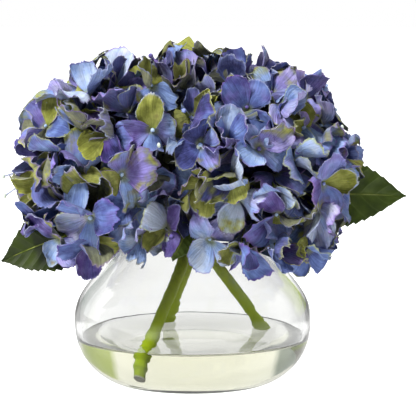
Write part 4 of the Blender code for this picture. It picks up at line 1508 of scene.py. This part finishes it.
for head in HEADS:
    bends = (BEAD_BEND_SIZE, BEAD_BEND_DEPTH)
    beads = set_shapes(f"beads_{head}", beads_of(head), bead_library, *bends, bead_finish)
    finish_piece(beads, "petal_fabric", f"bloom_{head}")
    lines = [bud_line(start, end) for own, start, end in BUDS if own == head]
    bud_stalks = rods(f"bud_stalks_{head}", lines, STALK_SIDES, STALK_RADIUS, bud_stalk_finish)
    finish_piece(bud_stalks, "petal_fabric", f"bloom_{head}")

# The libraries have served, so nothing of them stays in the scene
for library in (petal_dies, inner_dies, bead_library):
    for shape in list(library.objects):
        bpy.data.objects.remove(shape)
    bpy.data.collections.remove(library)

# %% [markdown]
# ## Stems
#
# The three stems cross in the vase's neck. A ramp by height paints light on them: bright green below,
# where light through the water falls on them, and dark olive above. Each has a knuckle with torn scars
# near its lower end, and a pale grey cut.
# They follow the CAD model's own routes through the same smooth curve. The photograph shows only one of
# them down to the bottom, so the other two are cut just under the water's surface. Moulded polythene has
# a soft, waxy shine, and fine streaks along it.

# %% Stem routes
STEM_RADIUS = 3.6 * MM
STEM_ROUTES = {
    "left": (
        (50, 26, 14), (43, 21, 31), (19, 5, 68), (13, -2, 78),
        (5, -8, 89), (-4, -10, 98), (-24, -9, 115), (-44, -10, 138),
    ),
    "right": (
        (-22, 51, 12), (-17, 41, 31), (-5, 17, 66), (-1, 9, 78),
        (6, 4, 89), (13, -3, 98), (27, -9, 114), (42, -10, 136),
    ),
    "middle": (
        (-31, -46, 12), (-26, -38, 30), (-11, -16, 64), (-6, -7, 78),
        (-4, 1, 89), (-3, 8, 98), (-3, 22, 120), (-2, 35, 152),
    ),
}
KNUCKLE_POSITIONS = {"left": 0.115, "right": 0.155, "middle": 0.115}
# Only the middle stem was left long enough to stand on the bottom; the others are cut just under the water
CUT_AT = {"left": 10, "right": 11, "middle": 0}
KNUCKLE_REACH = 0.035
KNUCKLE_SWELL = 0.32
SCARS_WITHIN = 1.8
SCAR_SWELL = (-0.22, 0.30)


def smooth_route(points, count):
    """Catmull-Rom points through a route, so that a stem bends as one smooth line."""
    ends = [points[0] * 2 - points[1], *points, points[-1] * 2 - points[-2]]
    route = []
    for i in range(count):
        place = (len(points) - 1) * i / (count - 1)
        k = min(int(place), len(points) - 2)
        t = place - k
        a, b, c, d = ends[k : k + 4]
        square = (2 * a - 5 * b + 4 * c - d) * t**2
        cube = (3 * b - a - 3 * c + d) * t**3
        route.append(0.5 * (2 * b + (c - a) * t + square + cube))
    return route


for name, route in STEM_ROUTES.items():
    line = smooth_route([millimetres(p) for p in route], len(route))
    length = sum((b - a).length for a, b in zip(line, line[1:]))
    print(f"the {name} stem runs {round(length / MM)} mm, from its end to its head")


def stem_swell(name, along, draw):
    """Thicker at the knuckle, with a few torn scars near it."""
    from_knuckle = (along - KNUCKLE_POSITIONS[name]) / KNUCKLE_REACH
    swell = 1.0 + KNUCKLE_SWELL * math.exp(-(from_knuckle**2))
    if abs(from_knuckle) < SCARS_WITHIN:
        swell += draw.uniform(*SCAR_SWELL)
    return swell


# %% Stem material
# Painted light: a ramp by height, bright green low down where light through the water falls, dark olive
# above
STEM_SWATCHES = ((0.0, "#98ac02"), (0.25, "#9fb20c"), (0.50, "#a3b136"), (0.85, "#6e7532"))
# Streaks to a metre across the stem and along it: each is 2 mm wide and 14 mm long
STREAKS = (520.0, 520.0, 70.0)
BRIGHT_BELOW, DARK_ABOVE = 20.0 * MM, 105.0 * MM


def stem_material():
    material, add = new_material("moulded polythene stem")
    spot = add("ShaderNodeTexCoord").outputs["Object"]
    along = add("ShaderNodeAttribute", attribute_name="along").outputs["Fac"]
    drawn_out = add("ShaderNodeMapping", Vector=spot, Scale=STREAKS)
    streaks = add("ShaderNodeTexNoise", Vector=drawn_out, Scale=1.0, Detail=3.0)
    uneven = add("ShaderNodeMath", streaks, 40.0 * MM, -20.0 * MM, operation="MULTIPLY_ADD")
    # Painted light by height, with streaks: brighter towards the water
    level = add("ShaderNodeMath", add("ShaderNodeSeparateXYZ", spot).outputs["Z"], uneven)
    share = add("ShaderNodeMapRange", level, BRIGHT_BELOW, DARK_ABOVE)
    green = add("ShaderNodeValToRGB", share, ramp=STEM_SWATCHES)
    cut = add("ShaderNodeMapRange", along, 0.012, 0.004)
    colour = add("ShaderNodeMix", data_type="RGBA", Factor=cut, A=green, B="#a8a496")
    skin = add(
        "ShaderNodeBsdfPrincipled",
        Base_Color=colour, Roughness=0.5, IOR=1.51, Specular_IOR_Level=0.25,
        Normal=add("ShaderNodeBump", Height=streaks, Strength=0.6, Distance=0.5 * MM),
    )
    add("ShaderNodeOutputMaterial", Surface=skin)
    return material


stem_finish = stem_material()
STEM_STATIONS = 110
STEM_SIDES = 20
STEM_BUMP_DEPTH = 1.2 * MM
for name, route in STEM_ROUTES.items():
    draw = random.Random(len(name))
    line = smooth_route([millimetres(p) for p in route], STEM_STATIONS)
    line = [(p, stem_swell(name, k / (STEM_STATIONS - 1), draw)) for k, p in enumerate(line)]
    shown = [line[CUT_AT[name] :]]
    stem = rods(f"cut_stem_{name}", shown, STEM_SIDES, STEM_RADIUS, stem_finish, STEM_BUMP_DEPTH)
    finish_piece(stem, "stem", f"stem_{name}")

# %% [markdown]
# ## Leaves
#
# The leaves are stamped from the same cloth, dyed dark green and waxed: folded along the midrib, quilted
# between side veins that sweep towards the tip, with a sawtooth edge. Geometry gives the fold, the quilting
# and the teeth, because they catch the light, and the material draws the paler veins on the same lines. The
# blade runs out to a drawn-out tip. The leaf at the lower left is painted about three times as dark, as
# painted shade.

# %% The shape of a leaf
LEAF_THICKNESS = 0.5 * MM
LEAF_TEETH = 15
LEAF_TOOTH_DEPTH = 2.3 * MM
LEAF_FOLD = 12.0
LEAF_WIDEST = 0.72
LEAF_FULLNESS = 0.62
LEAF_TAPER = 8
LEAF_SPREAD = 1.06
LEAF_VEINS = 8.0
LEAF_VEIN_SWEEP = 1.9
LEAF_QUILT = 0.7 * MM
LEAF_WAVE = 1.4 * MM
WAVES_ALONG, WAVES_ACROSS = 9.0, 2.0
LEAF_STATIONS = 60
LEAF_COLUMNS = 9
LEAF_STALK_RADIUS = 1.5 * MM
LEAF_STALK_GAP = 0.7 * MM
LEAF_STALK_SQUARE = 3.0 * MM
LEAF_STALK_SWELL, LEAF_STALK_LOSS, LEAF_STALK_POWER = 1.15, 0.85, 1.3
LEAF_MARGIN = 0.004
LEAF_RIB_WIDTH = 0.09
LEAF_RIB_DROP = 0.9 * MM
LEAF_STALK_SIDES = 10
LEAF_STALK_STATIONS = 48
STEM_SEARCH_STATIONS = 80


def leaf_line(leaf, along):
    """The midrib, from the blade's base to its tip, arched away from the way it faces."""
    base, tip = millimetres(leaf["base"]), millimetres(leaf["tip"])
    facing = Vector(leaf["faces"]).normalized()
    return base.lerp(tip, along) + facing * (leaf["arch"] * MM * math.sin(math.pi * along))


def leaf_blade(name, leaf):
    forward, across, facing = leaf_axes(leaf)
    fold = math.tan(math.radians(LEAF_FOLD))
    sides = [k / LEAF_COLUMNS for k in range(-LEAF_COLUMNS, LEAF_COLUMNS + 1)]
    points, places = [], []
    for i in range(LEAF_STATIONS + 1):
        along = LEAF_MARGIN + (1.0 - 2.0 * LEAF_MARGIN) * i / LEAF_STATIONS
        bow = math.sin(math.pi * along)
        full = math.sin(math.pi * along**LEAF_WIDEST) ** LEAF_FULLNESS * (1.0 - along**LEAF_TAPER)
        full *= LEAF_SPREAD * leaf["width"] * MM / 2.0
        # Teeth lean towards the tip: each rises slowly and drops at once
        tooth = LEAF_TOOTH_DEPTH * bow * (along * LEAF_TEETH % 1.0)
        for side in sides:
            out = abs(side) * full - (tooth if abs(side) == 1.0 else 0.0)
            phase = along * LEAF_VEINS - LEAF_VEIN_SWEEP * abs(side) * bow**0.5
            quilt = LEAF_QUILT * (math.cos(math.tau * phase) - 1.0) * math.sin(math.pi * abs(side)) * 0.5
            rib = -LEAF_QUILT * math.exp(-((side / LEAF_RIB_WIDTH) ** 2))
            turn = WAVES_ALONG * along + WAVES_ACROSS * side + leaf["width"]
            wave = LEAF_WAVE * side**2 * math.sin(turn)
            lift = out * fold + quilt + rib + wave
            points.append(leaf_line(leaf, along) + across * math.copysign(out, side) + facing * lift)
            places.append((side, along))
    side, along = np.array(places).T
    faces = grid_faces(LEAF_STATIONS, len(sides) - 1)
    mesh = thin_sheet(name, points, faces, side, along, np.abs(side) ** 8, LEAF_THICKNESS)
    # Painted shade: a factor on the leaf's colour, 1 where it has none
    store(mesh, "dye", np.full(len(mesh.vertices), leaf.get("dye", 1.0)))
    return mesh


def leaf_stalk_line(leaf):
    """The stalk starts beside its stem, and runs on under the blade as its midrib."""
    route = smooth_route([millimetres(p) for p in STEM_ROUTES[leaf["stem"]]], STEM_SEARCH_STATIONS)
    k = min(range(1, len(route) - 1), key=lambda i: abs(route[i].z - leaf["height"] * MM))
    along_stem = (route[k + 1] - route[k - 1]).normalized()
    vias = [millimetres(p) for p in leaf["stalk"]]
    leaving = vias[0] - route[k]
    leaving = (leaving - along_stem * leaving.dot(along_stem)).normalized()
    start = route[k] + leaving * (STEM_RADIUS - LEAF_STALK_GAP)
    facing = leaf_axes(leaf)[2]
    midrib = [leaf_line(leaf, t) - facing * LEAF_RIB_DROP for t in (0.0, 0.25, 0.5, 0.75, 0.92)]
    square = start + leaving * LEAF_STALK_SQUARE
    line = smooth_route([start, square, *vias, *midrib], LEAF_STALK_STATIONS)
    ways = [(i / (LEAF_STALK_STATIONS - 1)) ** LEAF_STALK_POWER for i in range(LEAF_STALK_STATIONS)]
    return [(p, LEAF_STALK_SWELL - LEAF_STALK_LOSS * way) for p, way in zip(line, ways)]


# %% Leaf material
LEAF_SWATCHES = ((0.30, "#33420c"), (0.50, "#4a5c16"), (0.70, "#5f7224"))
# Blotches of dye are 14 mm across. The threads are too fine to show, so they are drawn 1.1 mm apart.
BLOTCHES_PER_METRE, THREADS_PER_METRE = 70.0, 900.0


def leaf_cloth():
    material, add = new_material("waxed leaf cloth")
    place = add("ShaderNodeAttribute", attribute_name="place").outputs["Vector"]
    dye = add("ShaderNodeAttribute", attribute_name="dye").outputs["Fac"]
    across, along, under = add("ShaderNodeSeparateXYZ", place).outputs
    spot = add("ShaderNodeTexCoord").outputs["Object"]
    side = add("ShaderNodeMath", across, operation="ABSOLUTE")

    # The side veins lie where the quilting is highest, at whole numbers of this phase
    arc = add("ShaderNodeMath", along, math.pi, operation="MULTIPLY")
    bow = add("ShaderNodeMath", add("ShaderNodeMath", arc, operation="SINE"), operation="SQRT")
    reach = add("ShaderNodeMath", side, bow, operation="MULTIPLY")
    swept = add("ShaderNodeMath", reach, -LEAF_VEIN_SWEEP, operation="MULTIPLY")
    phase = add("ShaderNodeMath", along, LEAF_VEINS, swept, operation="MULTIPLY_ADD")
    off_vein = add("ShaderNodeMath", phase, 0.5, operation="PINGPONG")
    veins = add("ShaderNodeMapRange", off_vein, 0.10, 0.02)
    midrib = add("ShaderNodeMapRange", side, 0.055, 0.02)
    veins = add("ShaderNodeMath", veins, midrib, operation="MAXIMUM")

    blotches = add("ShaderNodeTexNoise", Vector=spot, Scale=BLOTCHES_PER_METRE, Detail=4.0)
    colour = add("ShaderNodeValToRGB", blotches, ramp=LEAF_SWATCHES)
    # Paler veins, a duller underside, and each leaf's painted shade, a factor on its colour
    for share, over, blend in (
        (add("ShaderNodeMath", veins, 0.14, operation="MULTIPLY"), "#7c9447", "MIX"),
        (add("ShaderNodeMath", under, 0.6, operation="MULTIPLY"), "#6f8457", "MIX"),
        (1.0, dye, "MULTIPLY"),
    ):
        colour = add("ShaderNodeMix", data_type="RGBA", blend_type=blend, Factor=share, A=colour, B=over)

    grain = add("ShaderNodeTexNoise", Vector=spot, Scale=THREADS_PER_METRE, Detail=2.0)
    bump = add("ShaderNodeBump", Height=grain, Strength=0.3, Distance=0.2 * MM)
    bump = add("ShaderNodeBump", Height=veins, Strength=0.5, Distance=0.3 * MM, Normal=bump)
    skin = add("ShaderNodeBsdfPrincipled", Base_Color=colour, Roughness=0.58, Coat_Weight=0.05, Normal=bump)
    through = add("ShaderNodeBsdfTranslucent", Color=colour)
    add("ShaderNodeOutputMaterial", Surface=add("ShaderNodeMixShader", 0.06, skin, through))
    return material


leaf_finish = leaf_cloth()
for name, leaf in LEAVES.items():
    blade = leaf_blade(f"blade_{name}", leaf)
    blade.materials.append(leaf_finish)
    line = leaf_stalk_line(leaf)
    finish_piece(new_object(blade.name, blade), "leaf_fabric", f"leaf_{name}")
    leaf_stalk = rods(f"leaf_stalk_{name}", [line], LEAF_STALK_SIDES, LEAF_STALK_RADIUS, stalk_finish)
    finish_piece(leaf_stalk, "leaf_fabric", f"leaf_{name}")

# %% [markdown]
# ## The glass vase
#
# The vase is blown soda-lime glass: clear, with a faint grey-green in its depth, which shows at the edges
# where the eye looks through much of it. Its outline is turned about the axis like work on a lathe, finely
# enough that the edge stays round, and its bottom is pushed up a little in the middle. The material is the
# Principled shader with full transmission at an index of 1.5, and a shallow, wide bump for the slight waves
# of blown glass. The grey-green comes from Volume Absorption: the longer light travels inside, the darker
# it gets, so the rims and the thick bottom darken by themselves. Light from the studio passes through with
# no sharp shadow, which a Light Path node allows.

# %% Turning an outline
SEGMENTS = 144


def turned_skin(name, outline, finish):
    """Turns (radius, height) points about the axis. The outline starts and ends on it: both poles close."""
    inner = outline[1:-1]
    points = [(0.0, 0.0, outline[0][1])]
    for radius, height in inner:
        for k in range(SEGMENTS):
            turn = math.tau * k / SEGMENTS
            points.append((radius * math.cos(turn), radius * math.sin(turn), height))
    points.append((0.0, 0.0, outline[-1][1]))
    last = len(points) - 1
    faces = []
    for k in range(SEGMENTS):
        n = (k + 1) % SEGMENTS
        faces.append((0, 1 + n, 1 + k))
        for j in range(len(inner) - 1):
            low, high = 1 + j * SEGMENTS, 1 + (j + 1) * SEGMENTS
            faces.append((low + k, low + n, high + n, high + k))
        faces.append((last - SEGMENTS + k, last - SEGMENTS + n, last))
    return new_mesh(name, points, faces, finish=finish)


def spaced(low, high, count, power=1.0):
    return [low + (high - low) * (i / (count - 1)) ** power for i in range(count)]


PUNT_RADIUS = 44.0 * MM
PUNT_DEPTH = 1.5 * MM
LIP_ROUND = 0.5 * WALL


def glass_outline():
    outside = [(vase_outer_radius(z), z) for z in spaced(0.0, BELLY_HEIGHT, 30, 2.0)]
    outside += [(vase_outer_radius(z), z) for z in spaced(BELLY_HEIGHT, VASE_HEIGHT - LIP_ROUND, 34)[1:]]
    middle, height = LIP_RADIUS - LIP_ROUND, VASE_HEIGHT - LIP_ROUND
    lip = [
        (middle + LIP_ROUND * math.cos(turn), height + LIP_ROUND * math.sin(turn))
        for turn in spaced(0.0, math.pi, 10)
    ]
    inside = [(vase_inner_radius(z), z) for z in spaced(VASE_HEIGHT - 1.2 * WALL, BELLY_HEIGHT, 32)]
    bowl = spaced(BASE_THICKNESS, BELLY_HEIGHT, 30, 2.0)[:-1]
    inside += [(vase_inner_radius(z), z) for z in reversed(bowl)]
    # Blown glass stands on a ring: its bottom is pushed up a little in the middle
    foot = [
        (share * PUNT_RADIUS, PUNT_DEPTH * (1.0 - share**4) ** 2) for share in spaced(0.0, 1.0, 16)[1:]
    ]
    floor = [(share * (FOOT_RADIUS - WALL), BASE_THICKNESS) for share in (0.7, 0.35)]
    return [(0.0, PUNT_DEPTH), *foot, *outside, *lip[1:-1], *inside, *floor, (0.0, BASE_THICKNESS)]


print("the outline of the glass has", len(glass_outline()), "points")


# %% Glass material
def clear_material(name, body_tint, strength, index, wave_size, wave_depth):
    """A clear body that tints light by its way inside, and lets the lamps through: glass, or water."""
    material, add = new_material(name)
    spot = add("ShaderNodeTexCoord").outputs["Object"]
    waves = add("ShaderNodeTexNoise", Vector=spot, Scale=1.0 / wave_size, Detail=1.0)
    bump = add("ShaderNodeBump", Height=waves, Strength=0.3, Distance=wave_depth)
    skin = add(
        "ShaderNodeBsdfPrincipled",
        Base_Color="#ffffff", Roughness=0.0, IOR=index, Transmission_Weight=1.0, Normal=bump,
    )
    passing = add("ShaderNodeBsdfTransparent", Color="#f6f8f6")
    shadow = add("ShaderNodeLightPath").outputs["Is Shadow Ray"]
    both = add("ShaderNodeMixShader", shadow, skin, passing)
    inside = add("ShaderNodeVolumeAbsorption", Color=body_tint, Density=strength)
    add("ShaderNodeOutputMaterial", Surface=both, Volume=inside)
    return material


glass_finish = clear_material("blown soda-lime glass", "#a3ada6", 24.0, 1.50, 30.0 * MM, 1.0 * MM)
vase_mesh = turned_skin("glass_vase", glass_outline(), glass_finish)
finish_piece(new_object("glass_vase", vase_mesh), "clear_glass", "vase")

# %% [markdown]
# ## The water
#
# The vase holds a finger's depth of water, tinted cream by the stems. It is one closed skin, turned like
# the glass. It reaches a hair into the wall, so that no film of air shows between water and glass, and it
# climbs the wall a little, as water does. Its index is 1.33, it is perfectly smooth, and it absorbs a
# little blue.

# %% Water
INTO_GLASS = 0.15 * MM
CLIMB = 0.6 * MM
CLIMB_REACH = 2.0 * MM
RISE_BACK = (0.3 * MM, 0.8 * MM, 1.5 * MM, 2.5 * MM, 4.0 * MM, 7.0 * MM, 14.0 * MM)


def water_outline():
    heights = spaced(BASE_THICKNESS, WATER_LEVEL + CLIMB, 26, 1.6)
    side = [(vase_inner_radius(z) + INTO_GLASS, z) for z in heights]
    bottom = BASE_THICKNESS - INTO_GLASS
    side[0] = (side[0][0], bottom)
    edge = side[-1][0] - INTO_GLASS
    surface = [
        (edge - back, WATER_LEVEL + CLIMB * math.exp(-back / CLIMB_REACH * 2.0)) for back in RISE_BACK
    ]
    flat = [(share * edge, WATER_LEVEL) for share in (0.6, 0.3)]
    foot = [(share * side[0][0], bottom) for share in (0.35, 0.7)]
    return [(0.0, bottom), *foot, *side, *surface, *flat, (0.0, WATER_LEVEL)]


water_finish = clear_material("still water", "#fffde0", 7.5, 1.33, 60.0 * MM, 0.3 * MM)
water_mesh = turned_skin("vase_water", water_outline(), water_finish)
finish_piece(new_object("vase_water", water_mesh), "still_water", "water")

# %% [markdown]
# ## The studio
#
# The photograph is a high-key product shot: a white table and background, a large soft light from the
# upper left in front, and white all round, so that shadows stay open. Clear glass shows only what it bends,
# so the glass sees a room of its own. It is white behind, fairly bright at eye level all round, and dark
# above and below at the sides, which draws the dark rims of the vase. Two flats, one olive and one grey,
# close the room at the back corners and show in the water's ends. The table glows for the camera, as in the
# burnt-out photograph, and not at all for the light that it sends up into the petals. As the glass shows
# it, its glow carries painted light and shade: a painted shadow under the vase, lighter round it, darker
# far out at the back corners, and a painted dark strip in front that stands in for a black card keeping
# reflections off the stems.

# %% Table
TABLE_SWATCHES = ((0.3, "#fafafa"), (0.7, "#fdfdfd"))
TABLE_GLOW = 0.80
TABLE_HALF = 4.0
TABLE_DROP = 0.3 * MM
TABLE_PATCHES_PER_METRE = 4.0
# How far in front of the vase the painted dark strip lies
PAINTED_STRIP_AHEAD = 0.13


def table_material():
    material, add = new_material("matt white laminate")
    spot = add("ShaderNodeTexCoord").outputs["Object"]
    x, y, _ = add("ShaderNodeSeparateXYZ", spot).outputs
    grain = add("ShaderNodeTexNoise", Vector=spot, Scale=TABLE_PATCHES_PER_METRE, Detail=2.0)
    colour = add("ShaderNodeValToRGB", grain, ramp=TABLE_SWATCHES)
    skin = add("ShaderNodeBsdfPrincipled", Base_Color=colour, Roughness=0.6)
    glow = add("ShaderNodeEmission", Color="#ffffff", Strength=TABLE_GLOW)
    lit = add("ShaderNodeAddShader", skin, glow)

    # Painted shade and light, seen only through the glass: a painted shadow under the vase, lighter round it
    off_axis = add("ShaderNodeVectorMath", spot, operation="LENGTH").outputs["Value"]
    under_vase = add("ShaderNodeMapRange", off_axis, 0.045, 0.13, 0.72, 1.14, **SMOOTH)
    # Painted light at the sides nearby, and painted shade far out at the back corners
    aside = add("ShaderNodeMath", x, operation="ABSOLUTE")
    far_off = add("ShaderNodeMapRange", y, 0.15, 0.21, 1.3, 0.5)
    at_sides = add("ShaderNodeMapRange", aside, 0.06, 0.20, 1.0, far_off, **SMOOTH)
    # A painted dark strip in front, standing in for a black card
    off_painted_strip = add("ShaderNodeMath", add("ShaderNodeMath", y, PAINTED_STRIP_AHEAD), operation="ABSOLUTE")
    in_front = add("ShaderNodeMapRange", off_painted_strip, 0.045, 0.09, 0.10, 1.0, **SMOOTH)
    dimmed = add("ShaderNodeMath", under_vase, at_sides, operation="MULTIPLY")
    dimmed = add("ShaderNodeMath", dimmed, in_front, operation="MULTIPLY")
    through_glass = add("ShaderNodeEmission", Color="#fdfdfc", Strength=dimmed)

    ray = add("ShaderNodeLightPath").outputs
    bright = add("ShaderNodeMixShader", ray["Is Camera Ray"], through_glass, lit)
    both = add("ShaderNodeMixShader", ray["Is Diffuse Ray"], bright, skin)
    add("ShaderNodeOutputMaterial", Surface=both)
    return material


corners = [(x * TABLE_HALF, y * TABLE_HALF, -TABLE_DROP) for x, y in ((-1, -1), (1, -1), (1, 1), (-1, 1))]
new_object("table", new_mesh("table", corners, [(0, 1, 2, 3)], finish=table_material()))


# %% Lights and the room
def soft_light(name, place, aim, width, height, power, shines):
    lamp = bpy.data.lights.new(name, "AREA")
    lamp.shape = "RECTANGLE"
    lamp.size = width
    lamp.size_y = height
    lamp.energy = power
    made = aimed(name, lamp, place, aim)
    # A lamp mirrored inside the glass leaves it as transmitted light, and would show as a hard patch
    made.visible_glossy = shines
    made.visible_transmission = False


MIDDLE = (0.0, 0.0, 0.12)
for lamp in (
    ("key", (-0.75, -0.8, 1.3), MIDDLE, 0.35, 0.35, 36.0, False),
    ("fill", (1.2, -1.0, 0.6), MIDDLE, 0.9, 1.2, 3.0, False),
    ("overhead", (0.1, 0.3, 1.5), MIDDLE, 0.6, 0.6, 9.0, False),
    ("window", (-1.0, 0.5, 0.62), MIDDLE, 0.7, 1.2, 3.4, True),
):
    soft_light(*lamp)


# From where to where (of the way to the back) the room turns from its sides' colour to its back wall's,
# first as the cloth is lit by it, then as the glass shows it, and the powers of both and of the camera's
ROOM_LOOKS = ((0.25, 0.9, "#5f6368", "#d6d8db"), (-0.30, 0.40, "#54585a", "#fdfdfc"))
ROOM_POWERS = (1.0, 1.27, 1.0)
# The flats that close the room at the back corners, and from where to where they lie sideways
FLATS = (("#aebe63", (0.37, 0.43)), ("#8f9994", (-0.42, -0.48)))
FLATS_BEHIND = (0.50, 0.65)
EYE_LEVEL = (0.30, 0.12)
EYE_LEVEL_WHITE = 0.6


def studio_room():
    """White for the camera, a grey room for the cloth, and the room with its bright walls for the glass."""
    world = bpy.data.worlds.new("studio")
    bpy.context.scene.world = world
    world.use_nodes = True
    world.node_tree.nodes.clear()
    add = partial(add_node, world.node_tree)
    x, y, z = add("ShaderNodeSeparateXYZ", add("ShaderNodeTexCoord")).outputs
    shown = []
    for start, full, sides, wall in ROOM_LOOKS:
        behind = add("ShaderNodeMapRange", y, start, full, **SMOOTH)
        if shown:
            up = add("ShaderNodeMath", z, operation="ABSOLUTE")
            level = add("ShaderNodeMapRange", up, *EYE_LEVEL, 0.0, EYE_LEVEL_WHITE)
            behind = add("ShaderNodeMath", behind, level, operation="MAXIMUM")
        shown.append(add("ShaderNodeMix", data_type="RGBA", Factor=behind, A=sides, B=wall))
    at_back = add("ShaderNodeMapRange", y, *FLATS_BEHIND)
    for flat, (near, far) in FLATS:
        corner = add("ShaderNodeMapRange", x, near, far, 0.0, at_back)
        shown[1] = add("ShaderNodeMix", data_type="RGBA", Factor=corner, A=shown[1], B=flat)
    cloth, glass, camera_sees = (
        add("ShaderNodeBackground", shade, power) for shade, power in zip([*shown, "#ffffff"], ROOM_POWERS)
    )
    ray = add("ShaderNodeLightPath").outputs
    sent = add("ShaderNodeMixShader", ray["Is Diffuse Ray"], glass, cloth)
    both = add("ShaderNodeMixShader", ray["Is Camera Ray"], sent, camera_sees)
    add("ShaderNodeOutputWorld", Surface=both)


studio_room()
bpy.context.scene.view_settings.view_transform = "Standard"
